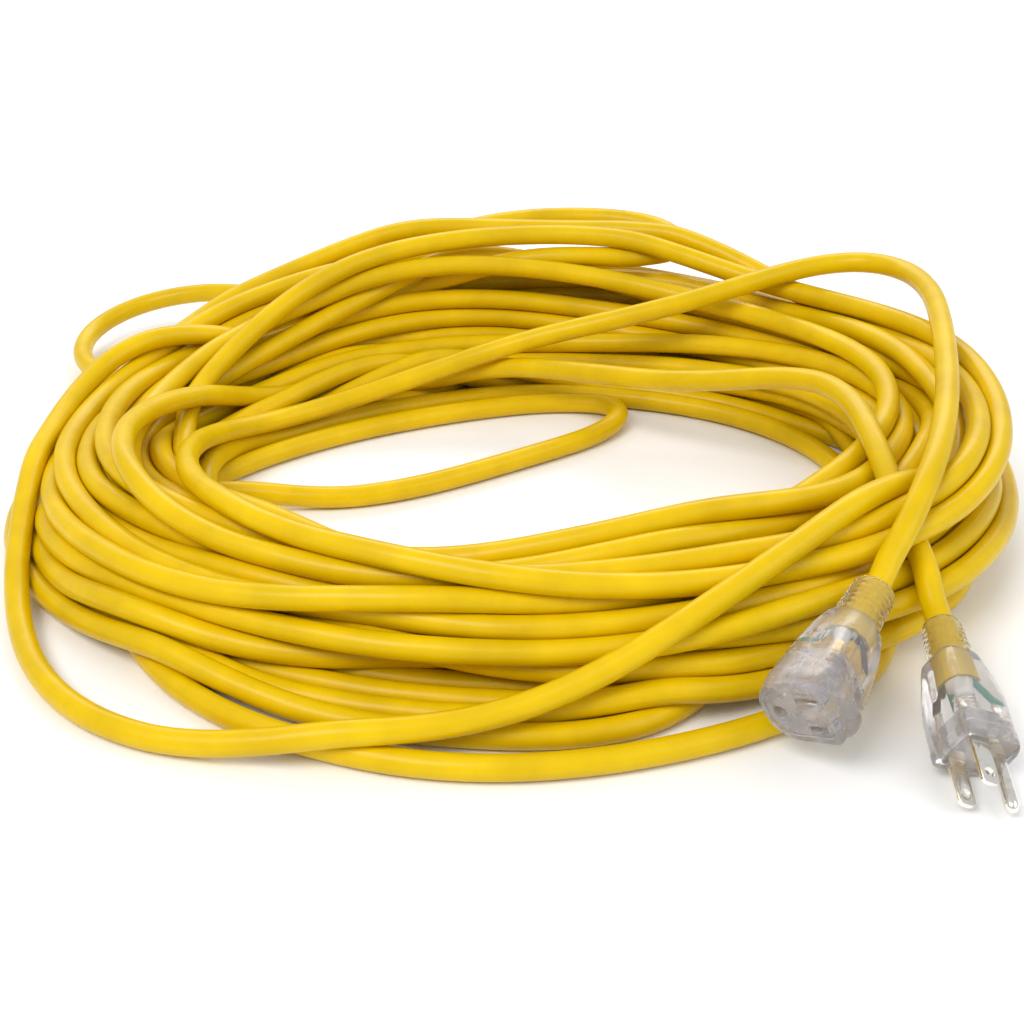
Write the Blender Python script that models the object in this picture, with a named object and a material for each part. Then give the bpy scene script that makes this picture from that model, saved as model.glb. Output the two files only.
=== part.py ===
"""Coiled outdoor extension cord: a moulded clear plug, a lighted clear connector and a 14/3 cord.

Everything is in metres with +Z up. The cord lies in an oval coil on the floor. The plug and the
connector are built along their own +X axis, which runs from the cord towards the blades or the
slots, and two empties put them in their places.
"""
from math import cos, pi, radians, sin, tau

import bmesh
import bpy
import numpy as np
from mathutils import Matrix, Vector

# ---------------------------------------------------------------- driving dimensions
GAP = 0.0003                      # clearance between pieces that touch
WIRE_END_GAP = 0.0007             # clearance at the cut ends of the conductors

# cord: three 2.1 mm2 (14 AWG) conductors in a round jacket
CORD_DIAMETER = 0.0093
CORD_R = CORD_DIAMETER / 2
WIRE_R = 0.00165
WIRE_LAY_R = 0.0021               # the three wires' distance from the cord's axis
TUBE_SPACING = 2.4 * CORD_DIAMETER
TUBE_RESOLUTION = 2

# coil: an oval ring, deeper and higher on its far side (+Y)
COIL_A = 0.164                    # centre line, half its width along X
COIL_B = 0.1300                   # centre line, half its depth along Y
COIL_SHIFT = 0.0115               # how far the far side is pushed out
COIL_BULGES = ((radians(30), 0.010), (radians(-42), 0.005))     # where and how far it is pushed out
COIL_HALF_WIDTH = 0.0360          # half the bundle's width, near side
COIL_SPREAD = 0.34                # extra width on the far side
COIL_HEIGHT = 0.041               # bundle's height, near side
COIL_FAR_RISE = 0.018             # extra height on the far side
COIL_ROUNDNESS = 2.2              # exponent of the section's arch
COIL_FOOT = 0.90                  # the foot's width against the full width
COIL_CLEARANCE = 0.0010            # the loose stretches' distance from the coil
RING_STATIONS = 60
RING_ARCH_POINTS = 11

# the set's place: moves the whole object so that the origin is under the middle of its box
SET_PLACE = Vector((0.0039, 0.0066, 0.0))

# plug, NEMA 5-15P
BLADE_PITCH = 0.0127              # between the two flat blades
BLADE_WIDTH = 0.00635
BLADE_THICK = 0.0015
BLADE_HOLE_R = 0.0016
GROUND_OFFSET = 0.0119            # from the blades' line to the ground pin
GROUND_PIN_R = 0.0024
BLADE_Y = -0.0040                 # the blades' side of the plug's axis
GROUND_Y = BLADE_Y + GROUND_OFFSET
BORE_R = CORD_R + GAP

PLUG_RELIEF_LENGTH = 0.0160
PLUG_FACE_X = 0.0545
PLUG_JACKET_X = 0.0285            # where the jacket ends inside the plug
PLUG_INSERT_X = 0.0445
PLUG_CRIMP_X = 0.0375
PLUG_BLADE_TIP_X = 0.0716
PLUG_PIN_TIP_X = 0.0747
INSERT_LOW_Y = -0.0086
INSERT_HIGH_Y = 0.0112
INSERT_HALF_Z = 0.0086
CRIMP_R = 0.0020
CRIMP_LENGTH = 0.0058

# sections: (x, lowest Y, highest Y, half height along Z, corner radius at lowest Y, and at highest Y)
PLUG_SECTIONS = [
    (0.0163, -0.0074, 0.0080, 0.0078, 0.0040, 0.0070), (0.0200, -0.0084, 0.0100, 0.0088, 0.0036, 0.0080),
    (0.0280, -0.0096, 0.0124, 0.0102, 0.0032, 0.0092), (0.0370, -0.0103, 0.0136, 0.0112, 0.0030, 0.0100),
    (0.0460, -0.0105, 0.0136, 0.0115, 0.0030, 0.0104), (0.0531, -0.0104, 0.0131, 0.0114, 0.0030, 0.0102),
    (0.0545, -0.0098, 0.0124, 0.0108, 0.0026, 0.0096),
]
PLUG_CHAMBER = [
    (0.0290, -0.0072, 0.0086, 0.0078, 0.0026, 0.0060), (0.0355, -0.0082, 0.0106, 0.0090, 0.0024, 0.0070),
    (0.0449, -0.0084, 0.0110, 0.0088, 0.0020, 0.0020),
]

# connector, NEMA 5-15R, lighted
CONN_RELIEF_LENGTH = 0.0175
CONN_FACE_X = 0.060
CONN_JACKET_X = 0.0262
CARRIER_X = 0.0405
CARRIER_LOW_Y = -0.0098
CARRIER_HIGH_Y = 0.0122
CARRIER_HALF_Z = 0.0100
FACE_WALL = 0.0036
CONTACT_LEAF = 0.0006
CONTACT_MOUTH = 0.0013
CONTACT_WIDTH = 0.0080
CONTACT_BACK_X = 0.0415
CONTACT_TIP_X = 0.0552
SLOT_THICK = 0.0022
LINE_SLOT_WIDTH = 0.0069
NEUTRAL_SLOT_WIDTH = 0.0083
GROUND_HOLE_R = 0.0027
CONN_CRIMP_X = 0.0345
LAMP_R = 0.0014
LAMP_LENGTH = 0.0068
RESISTOR_R = 0.0012
RESISTOR_LENGTH = 0.0056
LEAD_R = 0.0003

CONN_SECTIONS = [
    (0.0178, -0.0086, 0.0086, 0.0086, 0.0080, 0.0080), (0.0210, -0.0104, 0.0106, 0.0100, 0.0080, 0.0090),
    (0.0270, -0.0116, 0.0122, 0.0112, 0.0070, 0.0100), (0.0360, -0.0122, 0.0134, 0.0122, 0.0056, 0.0108),
    (0.0460, -0.0126, 0.0144, 0.0129, 0.0050, 0.0112), (0.0500, -0.0144, 0.0152, 0.0132, 0.0056, 0.0116),
    (0.0525, -0.0152, 0.0156, 0.0133, 0.0060, 0.0118), (0.0550, -0.0148, 0.0154, 0.0133, 0.0058, 0.0118),
    (0.0566, -0.0120, 0.0150, 0.0132, 0.0040, 0.0114), (0.0590, -0.0118, 0.0147, 0.0130, 0.0038, 0.0112),
    (0.0600, -0.0112, 0.0140, 0.0124, 0.0034, 0.0106),
]
CONN_CHAMBER = [
    (0.0266, -0.0090, 0.0092, 0.0086, 0.0060, 0.0070), (0.0330, -0.0098, 0.0112, 0.0098, 0.0050, 0.0080),
    (0.0409, -0.0094, 0.0118, 0.0096, 0.0036, 0.0036),
]

# places of the plug and the connector: the cord's entry, the axis' direction and the roll about it
PLUG_ENTRY = Vector((0.148, -0.1323, 0.0269))
PLUG_AXIS = Vector((0.026, -0.964, -0.265))
PLUG_ROLL = radians(-22.5)
CONN_ENTRY = Vector((0.1242, -0.1313, 0.0406))
CONN_AXIS = Vector((-0.528, -0.802, -0.279))
CONN_ROLL = radians(-159.5)

# the cord's loose stretches, in millimetres: x, y and the height of the centre line
PLUG_TAIL = [
    (147, -123, 31), (146, -114, 35), (143, -105, 40), (141, -97, 45), (140, -87, 50), (139, -75, 53),
    (138, -62, 55), (137, -46, 57), (136, -29, 59), (134, -13, 60), (130, 0, 59), (121, 8, 57), (108, 14, 52),
    (94, 21, 47), (80, 29, 43), (65, 41, 38), (49, 55, 34), (29, 68, 30), (5, 80, 26),
]
CONNECTOR_TAIL = [
    (132, -119, 49), (138, -112, 55), (144, -102, 60), (151, -89, 64), (157, -73, 67), (163, -53, 69),
    (170, -29, 71), (175, -1, 72), (180, 30, 73), (183, 63, 73), (179, 87, 72), (170, 102, 71), (157, 108, 69),
    (133, 104, 66), (105, 94, 63), (77, 88, 60), (50, 86, 54), (22, 85, 46), (-6, 83, 38), (-33, 78, 30),
]
LEFT_FRONT_LOOP = [
    (-182, 55, 38), (-191, 20, 27), (-194, -18, 14), (-193, -48, 7), (-188, -82, 5), (-178, -111, 5),
    (-160, -141, 5), (-140, -159, 5), (-119, -168, 7), (-100, -172, 11), (-83, -174, 15), (-65, -175, 18),
    (-42, -175, 25), (-15, -171, 34),
]
FRONT_LOOP = [
    (-143, -106, 5), (-127, -128, 5), (-103, -150, 5), (-81, -165, 5), (-52, -177, 5), (-20, -183, 5),
    (12, -182, 5), (45, -175, 5), (76, -164, 5), (104, -148, 5), (128, -126, 5),
]
INNER_KINK = [
    (-130, 13, 5), (-113, 29, 5), (-96, 43, 5), (-78, 56, 5), (-54, 67, 5), (-28, 76, 5), (0, 84, 5),
    (25, 89, 5), (43, 89, 5), (56, 82, 5), (57, 70, 5), (45, 60, 5), (24, 48, 5), (3, 34, 5), (-24, 15, 5),
    (-47, 2, 5), (-70, -8, 5), (-92, -9, 5), (-115, -3, 5),
]
BACK_LEFT_LOOP = [
    (-105, 156, 30), (-139, 176, 26), (-167, 183, 23), (-192, 181, 19), (-209, 172, 16), (-217, 157, 13),
    (-216, 134, 11), (-206, 113, 9), (-187, 98, 8), (-160, 89, 8),
]
TOP_BACK_LOOP = [
    (-104, 134, 48), (-86, 141, 52), (-69, 149, 56), (-54, 160, 58), (-38, 170, 61), (-18, 178, 63),
    (5, 182, 64), (33, 183, 64), (58, 179, 64), (78, 169, 65), (88, 154, 66), (83, 142, 66), (65, 137, 65),
]

# ---------------------------------------------------------------- materials
YELLOW = (0.86, 0.62, 0.03)
CLEAR = (0.80, 0.78, 0.82)
IVORY = (0.82, 0.80, 0.78)
NICKEL = (0.72, 0.68, 0.60)
BRASS = (0.72, 0.55, 0.25)
BLACK = (0.03, 0.03, 0.03)
WHITE = (0.85, 0.85, 0.83)
GREEN = (0.02, 0.28, 0.14)
AMBER = (0.85, 0.55, 0.35)
TAN = (0.62, 0.50, 0.34)


def material(name, colour, roughness, metallic=0.0, alpha=1.0):
    """A Principled material, made once."""
    found = bpy.data.materials.get(name)
    if found:
        return found
    made = bpy.data.materials.new(name)
    made.use_nodes = True
    shader = made.node_tree.nodes["Principled BSDF"]
    shader.inputs["Base Color"].default_value = (*colour, 1.0)
    shader.inputs["Roughness"].default_value = roughness
    shader.inputs["Metallic"].default_value = metallic
    shader.inputs["Alpha"].default_value = alpha
    return made


def jacket():
    return material("jacket_yellow", YELLOW, 0.42)


def clear_pvc():
    return material("clear_pvc", CLEAR, 0.18, alpha=0.35)


# ---------------------------------------------------------------- object helpers
def add_object(name, data, look, parent):
    """Link a mesh or curve as a named object, under its parent empty."""
    thing = bpy.data.objects.new(name, data)
    bpy.context.scene.collection.objects.link(thing)
    data.materials.append(look)
    thing.parent = parent
    return thing


def mesh_object(name, bm, look, parent, smooth_angle=40):
    """Turn a bmesh into a named object with outward faces."""
    bmesh.ops.recalc_face_normals(bm, faces=bm.faces)
    mesh = bpy.data.meshes.new(name)
    bm.to_mesh(mesh)
    bm.free()
    mesh.shade_smooth()
    mesh.set_sharp_from_angle(angle=radians(smooth_angle))
    return add_object(name, mesh, look, parent)


def as_cutter(thing):
    thing.hide_render = True
    thing.display_type = "WIRE"
    return thing


def boolean(target, other, operation):
    """Cut or join another object, which stays in the file only as a guide."""
    modifier = target.modifiers.new(operation.lower() + "_" + other.name, "BOOLEAN")
    modifier.operation = operation
    modifier.solver = "EXACT"
    modifier.object = as_cutter(other)


def empty(name, place, parent=None):
    frame = bpy.data.objects.new(name, None)
    bpy.context.scene.collection.objects.link(frame)
    frame.parent = parent
    frame.matrix_basis = place
    return frame


def bridged(bm, loops):
    """Join rings of vertices into one closed tube with flat ends."""
    for near, far in zip(loops[:-1], loops[1:]):
        count = len(near)
        for i in range(count):
            j = (i + 1) % count
            bm.faces.new((near[i], near[j], far[j], far[i]))
    bm.faces.new(loops[0][::-1])
    bm.faces.new(loops[-1])


def rounded_section(low_y, high_y, half_z, low_radius, high_radius, per_corner=6):
    """Points around a rectangle in the YZ plane whose corners at low Y and at high Y have their own radii."""
    points = []
    for corner, sign in enumerate((1, 1, -1, -1)):
        at_high = corner in (0, 3)
        radius = high_radius if at_high else low_radius
        middle = high_y - radius if at_high else low_y + radius
        for k in range(per_corner):
            angle = pi / 2 * (corner + k / (per_corner - 1))
            points.append((middle + radius * cos(angle), sign * (half_z - radius) + radius * sin(angle)))
    return points


def loft(name, sections, look, parent):
    """A solid through rounded sections along X."""
    bm = bmesh.new()
    loops = []
    for x, *shape in sections:
        loops.append([bm.verts.new((x, y, z)) for y, z in rounded_section(*shape)])
    bridged(bm, loops)
    return mesh_object(name, bm, look, parent)


def turned(name, profile, look, parent, centre=(0.0, 0.0), segments=24):
    """A solid turned about a line parallel to X. The profile is (x, radius), rear to front."""
    bm = bmesh.new()
    loops = []
    for x, radius in profile:
        ring = [(radius * cos(tau * k / segments), radius * sin(tau * k / segments)) for k in range(segments)]
        loops.append([bm.verts.new((x, centre[0] + y, centre[1] + z)) for y, z in ring])
    bridged(bm, loops)
    return mesh_object(name, bm, look, parent)


def box(name, low, high, look, parent):
    bm = bmesh.new()
    bmesh.ops.create_cube(bm, size=1.0)
    size = [b - a for a, b in zip(low, high)]
    middle = [(a + b) / 2 for a, b in zip(low, high)]
    bmesh.ops.scale(bm, vec=size, verts=bm.verts)
    bmesh.ops.translate(bm, vec=middle, verts=bm.verts)
    return mesh_object(name, bm, look, parent)


def prism(name, outline, low, high, look, parent):
    """An outline in the XZ plane, pushed along Y from low to high."""
    bm = bmesh.new()
    loops = [[bm.verts.new((x, y, z)) for x, z in outline] for y in (low, high)]
    bridged(bm, loops)
    return mesh_object(name, bm, look, parent)


def smooth_route(points, spacing):
    """Evenly spaced points on a Catmull-Rom curve through the route's own points."""
    route = [Vector(p) for p in points]
    padded = [2 * route[0] - route[1], *route, 2 * route[-1] - route[-2]]
    fine = []
    for i in range(1, len(padded) - 2):
        a, b, c, d = padded[i - 1:i + 3]
        for k in range(12):
            t = k / 12
            fine.append(0.5 * (2 * b + (c - a) * t + (2 * a - 5 * b + 4 * c - d) * t ** 2
                               + (3 * b - a - 3 * c + d) * t ** 3))
    fine.append(route[-1])
    lengths = np.cumsum([0.0] + [(q - p).length for p, q in zip(fine[:-1], fine[1:])])
    count = max(3, round(lengths[-1] / spacing) + 1)
    at = np.linspace(0.0, lengths[-1], count)
    columns = [np.interp(at, lengths, [p[axis] for p in fine]) for axis in range(3)]
    return [Vector(p) for p in zip(*columns)]


def tube(name, points, radius, look, parent, resolution=TUBE_RESOLUTION):
    """A round tube along a poly spline, with closed ends."""
    data = bpy.data.curves.new(name, "CURVE")
    data.dimensions = "3D"
    data.bevel_depth = radius
    data.bevel_resolution = resolution
    data.use_fill_caps = True
    spline = data.splines.new("POLY")
    spline.points.add(len(points) - 1)
    for slot, point in zip(spline.points, points):
        slot.co = (*point, 1.0)
    spline.use_smooth = True
    return add_object(name, data, look, parent)


# ---------------------------------------------------------------- coil
def coil_point(theta, offset):
    """A point beside the coil's centre line, offset outwards."""
    x = COIL_A * cos(theta)
    y = COIL_B * sin(theta) + COIL_SHIFT * sin(theta) ** 2
    normal = Vector((COIL_B * cos(theta) + 2 * COIL_SHIFT * sin(theta) * cos(theta), COIL_A * sin(theta)))
    normal.normalize()
    reach = offset + sum(far * max(0.0, cos(theta - at)) ** 3 for at, far in COIL_BULGES)
    return x + normal.x * reach, y + normal.y * reach


def coil_half_width(theta):
    return COIL_HALF_WIDTH * (1 + COIL_SPREAD * (1 + sin(theta)) / 2)


def coil_height(theta):
    return COIL_HEIGHT + COIL_FAR_RISE * (1 + sin(theta)) / 2


def coil_section(theta):
    """Offsets and heights around the bundle's section: a rounded arch on a flat foot."""
    half, top = coil_half_width(theta), coil_height(theta)
    power = 2 / COIL_ROUNDNESS
    arch = []
    for k in range(RING_ARCH_POINTS):
        angle = pi * (k + 0.5) / RING_ARCH_POINTS
        across = abs(cos(angle)) ** power * (1 if cos(angle) >= 0 else -1)
        arch.append((half * across, top * sin(angle) ** power))
    return [(COIL_FOOT * half, 0.0), *arch, (-COIL_FOOT * half, 0.0)]


def build_coil(parent):
    """The outer shape of all the wound turns, one closed ring on the floor."""
    bm = bmesh.new()
    stations = []
    for k in range(RING_STATIONS):
        theta = tau * k / RING_STATIONS
        section = coil_section(theta)
        stations.append([bm.verts.new((*coil_point(theta, offset), height)) for offset, height in section])
    for k in range(RING_STATIONS):
        near, far = stations[k], stations[(k + 1) % RING_STATIONS]
        for i in range(len(near)):
            j = (i + 1) % len(near)
            bm.faces.new((near[i], near[j], far[j], far[i]))
    return mesh_object("cord_coil", bm, jacket(), parent)


def clear_of_coil(point, clearance):
    """Whether a point is outside the bundle by at least the clearance."""
    theta = np.arctan2((point.y - COIL_SHIFT) / COIL_B, point.x / COIL_A)
    for _ in range(8):
        base = Vector(coil_point(theta, 0.0))
        tangent = Vector(coil_point(theta + 0.001, 0.0)) - base
        theta += 0.001 * (Vector(point[:2]) - base).dot(tangent) / tangent.length_squared
    outward = Vector(coil_point(theta, 1.0)) - base
    offset = (Vector(point[:2]) - base).dot(outward)
    across = abs(offset) / (coil_half_width(theta) + clearance)
    up = max(0.0, point.z) / (coil_height(theta) + clearance)
    return across ** COIL_ROUNDNESS + up ** COIL_ROUNDNESS > 1.0


def free_stretch(points, first=None):
    """The longest run of a loose stretch that the coil's solid doesn't swallow."""
    route = smooth_route([Vector(p) / 1000 for p in points], 0.003)
    flags = [clear_of_coil(p, CORD_R + COIL_CLEARANCE) for p in route]
    best, start = (0, 0), None
    for i, flag in enumerate([*flags, False]):
        if flag and start is None:
            start = i
        if not flag and start is not None:
            if i - start > best[1] - best[0]:
                best = (start, i)
            start = None
    kept = [Vector((p.x, p.y, max(p.z, CORD_R))) for p in route[best[0]:best[1]]]
    return smooth_route(([first] if first else []) + kept, TUBE_SPACING)


def build_loose_stretches(parent, plug_frame, connector_frame):
    """One tube for each stretch of cord that lies outside the coil."""
    for name, points in (("cord_left_front_loop", LEFT_FRONT_LOOP), ("cord_front_loop", FRONT_LOOP),
                         ("cord_inner_kink", INNER_KINK), ("cord_back_left_loop", BACK_LEFT_LOOP),
                         ("cord_top_back_loop", TOP_BACK_LOOP)):
        tube(name, free_stretch(points), CORD_R, jacket(), parent)
    for name, points, frame, end_x in (("cord_plug_tail", PLUG_TAIL, plug_frame, PLUG_JACKET_X),
                                       ("cord_connector_tail", CONNECTOR_TAIL, connector_frame, CONN_JACKET_X)):
        inside = [frame.matrix_basis @ Vector((x, 0.0, 0.0)) for x in (end_x, end_x / 2, 0.0, -0.008)]
        free = free_stretch(points)
        tube(name, inside[:3] + smooth_route([inside[3], *free], TUBE_SPACING), CORD_R, jacket(), parent)


# ---------------------------------------------------------------- shared end pieces
def relief_profile(length, rear_r, front_r, ribs):
    """Outer profile of a tapered strain relief with shallow rings."""
    profile = [(0.0, rear_r - 0.0006), (0.0008, rear_r)]
    pitch = (length - 0.004) / ribs
    for k in range(ribs):
        x = 0.002 + k * pitch
        grow = rear_r + (front_r - rear_r) * (x / length)
        profile += [(x, grow), (x + pitch * 0.45, grow + 0.0003), (x + pitch * 0.55, grow - 0.0004),
                    (x + pitch * 0.95, grow - 0.0003)]
    return profile + [(length - 0.0012, front_r), (length, front_r)]


def strain_relief(name, length, rear_r, front_r, parent):
    """A tapered sleeve that the cord passes through."""
    sleeve = turned(name, relief_profile(length, rear_r, front_r, 4), clear_pvc(), parent, segments=28)
    bore = turned(name + "_bore", [(-0.002, BORE_R), (length + 0.002, BORE_R)], clear_pvc(), parent, segments=16)
    boolean(sleeve, bore, "DIFFERENCE")


def wires(prefix, jacket_x, ends, parent):
    """The three insulated conductors, from the jacket's end to their crimps."""
    looks = {"line": material("wire_black", BLACK, 0.4), "neutral": material("wire_white", WHITE, 0.4),
             "ground": material("wire_green", GREEN, 0.4)}
    for key, (end_x, end_y, end_z) in ends.items():
        angle = 0.0 if key == "ground" else radians(120 if end_z > 0 else 240)
        start = Vector((jacket_x + WIRE_END_GAP, WIRE_LAY_R * cos(angle), WIRE_LAY_R * sin(angle)))
        end = Vector((end_x, end_y, end_z))
        run = end.x - start.x
        route = [start, start + Vector((run * 0.12, 0, 0)), end - Vector((run * 0.12, 0, 0)), end]
        tube(f"{prefix}_{key}_wire", smooth_route(route, run / 8), WIRE_R, looks[key], parent, resolution=1)


# ---------------------------------------------------------------- plug
def build_plug(frame):
    """The moulded plug: overmould, strain relief, insert, two blades, ground pin and wires."""
    clear = clear_pvc()
    nickel = material("nickel_plate", NICKEL, 0.3, metallic=1.0)
    strain_relief("plug_strain_relief", PLUG_RELIEF_LENGTH, 0.0064, 0.0076, frame)

    body = loft("plug_body", PLUG_SECTIONS, clear, frame)
    boolean(body, loft("plug_chamber_guide", PLUG_CHAMBER, clear, frame), "DIFFERENCE")
    pocket_shape = (INSERT_LOW_Y - GAP, INSERT_HIGH_Y + GAP, INSERT_HALF_Z + GAP, 0.0022, 0.0022)
    pocket = loft("plug_pocket_guide", [(PLUG_INSERT_X - GAP, *pocket_shape), (PLUG_FACE_X + 0.002, *pocket_shape)],
                  clear, frame)
    boolean(body, pocket, "DIFFERENCE")
    bore = turned("plug_bore_guide", [(0.014, BORE_R), (PLUG_JACKET_X + 0.002, BORE_R)], clear, frame, segments=16)
    boolean(body, bore, "DIFFERENCE")

    insert_shape = (INSERT_LOW_Y, INSERT_HIGH_Y, INSERT_HALF_Z, 0.0020, 0.0020)
    insert = loft("plug_insert", [(PLUG_INSERT_X, *insert_shape), (PLUG_FACE_X - GAP, *insert_shape)],
                  material("insert_ivory", IVORY, 0.45), frame)
    for side, key in ((-1, "line"), (1, "neutral")):
        z = side * BLADE_PITCH / 2
        slot = box(f"plug_{key}_slot_guide",
                   (PLUG_INSERT_X - 0.002, BLADE_Y - BLADE_WIDTH / 2 - GAP, z - BLADE_THICK / 2 - GAP),
                   (PLUG_FACE_X + 0.002, BLADE_Y + BLADE_WIDTH / 2 + GAP, z + BLADE_THICK / 2 + GAP), clear, frame)
        boolean(insert, slot, "DIFFERENCE")
        build_blade(f"plug_{key}_blade", z, nickel, frame)
    hole = turned("plug_ground_hole_guide", [(PLUG_INSERT_X - 0.002, GROUND_PIN_R + GAP),
                                             (PLUG_FACE_X + 0.002, GROUND_PIN_R + GAP)], clear, frame,
                  centre=(GROUND_Y, 0.0))
    boolean(insert, hole, "DIFFERENCE")
    pin_profile = [(PLUG_CRIMP_X, CRIMP_R), (PLUG_CRIMP_X + CRIMP_LENGTH, CRIMP_R),
                   (PLUG_CRIMP_X + CRIMP_LENGTH + 0.0008, GROUND_PIN_R), (PLUG_PIN_TIP_X - 0.0030, GROUND_PIN_R),
                   (PLUG_PIN_TIP_X - 0.0014, GROUND_PIN_R * 0.86), (PLUG_PIN_TIP_X - 0.0004, GROUND_PIN_R * 0.55),
                   (PLUG_PIN_TIP_X, GROUND_PIN_R * 0.18)]
    turned("plug_ground_pin", pin_profile, nickel, frame, centre=(GROUND_Y, 0.0))
    end_x = PLUG_CRIMP_X - WIRE_END_GAP
    crimp_z = BLADE_PITCH / 2 - 0.0006
    wires("plug", PLUG_JACKET_X, {"line": (end_x, BLADE_Y, -crimp_z), "neutral": (end_x, BLADE_Y, crimp_z),
                                  "ground": (end_x, GROUND_Y, 0.0)}, frame)


def build_blade(name, z, look, frame):
    """A flat blade with a chamfered tip, a hole and the crimp barrel on its tail."""
    side = 1 if z > 0 else -1
    start, tip, taper = PLUG_CRIMP_X + CRIMP_LENGTH * 0.6, PLUG_BLADE_TIP_X, 0.0016
    half = BLADE_THICK / 2
    outline = [(start, z - half), (tip - taper, z - half), (tip, z - half * 0.45), (tip, z + half * 0.45),
               (tip - taper, z + half), (start, z + half)]
    blade = prism(name, outline, BLADE_Y - BLADE_WIDTH / 2, BLADE_Y + BLADE_WIDTH / 2, look, frame)
    hole_x = tip - 0.0045
    hole = turned(name + "_hole_guide", [(-0.004, BLADE_HOLE_R), (0.004, BLADE_HOLE_R)], look, frame, segments=16)
    hole.matrix_basis = Matrix.Translation((hole_x, BLADE_Y, z)) @ Matrix.Rotation(pi / 2, 4, "Y")
    boolean(blade, hole, "DIFFERENCE")
    barrel = turned(name + "_barrel_guide", [(PLUG_CRIMP_X, CRIMP_R), (PLUG_CRIMP_X + CRIMP_LENGTH, CRIMP_R)], look,
                    frame, centre=(BLADE_Y, z - side * 0.0006), segments=16)
    boolean(blade, barrel, "UNION")


# ---------------------------------------------------------------- connector
def build_connector(frame):
    """The moulded connector: overmould, strain relief, carrier, contacts, wires, lamp and resistor."""
    clear = clear_pvc()
    strain_relief("connector_strain_relief", CONN_RELIEF_LENGTH, 0.0074, 0.0082, frame)

    body = loft("connector_body", CONN_SECTIONS, clear, frame)
    boolean(body, loft("connector_chamber_guide", CONN_CHAMBER, clear, frame), "DIFFERENCE")
    pocket_shape = (CARRIER_LOW_Y - GAP, CARRIER_HIGH_Y + GAP, CARRIER_HALF_Z + GAP, 0.0036, 0.0080)
    pocket = loft("connector_pocket_guide", [(CARRIER_X - GAP, *pocket_shape), (CONN_FACE_X + 0.002, *pocket_shape)],
                  clear, frame)
    boolean(body, pocket, "DIFFERENCE")
    bore = turned("connector_bore_guide", [(0.015, BORE_R), (CONN_JACKET_X + 0.002, BORE_R)], clear, frame, segments=16)
    boolean(body, bore, "DIFFERENCE")
    build_carrier(frame)

    brass = material("contact_brass", BRASS, 0.3, metallic=1.0)
    for side, key in ((1, "line"), (-1, "neutral")):
        build_flat_contact(f"connector_{key}_contact", side * BLADE_PITCH / 2, brass, frame)
    build_ground_contact(brass, frame)
    end_x = CONN_CRIMP_X - WIRE_END_GAP
    half_pitch = BLADE_PITCH / 2
    wires("connector", CONN_JACKET_X, {"line": (end_x, BLADE_Y, half_pitch - 0.0006),
                                       "neutral": (end_x, BLADE_Y, -half_pitch + 0.0006),
                                       "ground": (end_x, GROUND_Y, 0.0)}, frame)
    build_indicator(frame)


def build_carrier(frame):
    """The rigid block behind the face that holds the contacts."""
    look = material("carrier_clear", CLEAR, 0.22, alpha=0.5)
    shape = (CARRIER_LOW_Y, CARRIER_HIGH_Y, CARRIER_HALF_Z, 0.0034, 0.0078)
    carrier = loft("connector_contact_carrier", [(CARRIER_X, *shape), (CONN_FACE_X - GAP, *shape)], look, frame)
    pocket_end = CONN_FACE_X - FACE_WALL
    pocket_y = CONTACT_WIDTH / 2 + GAP
    for side, key, width in ((1, "line", LINE_SLOT_WIDTH), (-1, "neutral", NEUTRAL_SLOT_WIDTH)):
        z = side * BLADE_PITCH / 2
        pocket = box(f"{key}_pocket_guide", (CARRIER_X - 0.002, BLADE_Y - pocket_y, z - 0.0028),
                     (pocket_end, BLADE_Y + pocket_y, z + 0.0028), look, frame)
        boolean(carrier, pocket, "DIFFERENCE")
        slot = box(f"{key}_slot_guide", (pocket_end - 0.001, BLADE_Y - width / 2, z - SLOT_THICK / 2),
                   (CONN_FACE_X + 0.002, BLADE_Y + width / 2, z + SLOT_THICK / 2), look, frame)
        boolean(carrier, slot, "DIFFERENCE")
    pocket = turned("ground_pocket_guide", [(CARRIER_X - 0.002, 0.0036), (pocket_end, 0.0036)], look, frame,
                    centre=(GROUND_Y, 0.0))
    boolean(carrier, pocket, "DIFFERENCE")
    hole = turned("ground_hole_guide", [(pocket_end - 0.001, GROUND_HOLE_R), (CONN_FACE_X + 0.002, GROUND_HOLE_R)],
                  look, frame, centre=(GROUND_Y, 0.0))
    boolean(carrier, hole, "DIFFERENCE")


def build_flat_contact(name, z, look, frame):
    """Two spring leaves folded from one strip, with the crimp barrel behind them."""
    back, tip, throat = CONTACT_BACK_X, CONTACT_TIP_X, 0.0021
    outline = [(back, -throat), (tip - 0.004, -CONTACT_MOUTH + 0.0003), (tip, -CONTACT_MOUTH - 0.0006),
               (tip, -CONTACT_MOUTH), (tip - 0.004, -CONTACT_MOUTH + 0.0003 + CONTACT_LEAF),
               (back + CONTACT_LEAF, -throat + CONTACT_LEAF), (back + CONTACT_LEAF, throat - CONTACT_LEAF),
               (tip - 0.004, CONTACT_MOUTH - 0.0003 - CONTACT_LEAF), (tip, CONTACT_MOUTH),
               (tip, CONTACT_MOUTH + 0.0006), (tip - 0.004, CONTACT_MOUTH - 0.0003), (back, throat)]
    outline = [(x, z + height) for x, height in outline]
    contact = prism(name, outline, BLADE_Y - CONTACT_WIDTH / 2, BLADE_Y + CONTACT_WIDTH / 2, look, frame)
    side = 1 if z > 0 else -1
    barrel = turned(name + "_barrel_guide", [(CONN_CRIMP_X, CRIMP_R), (back + 0.0003, CRIMP_R)], look, frame,
                    centre=(BLADE_Y, z - side * 0.0006), segments=16)
    boolean(contact, barrel, "UNION")


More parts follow.
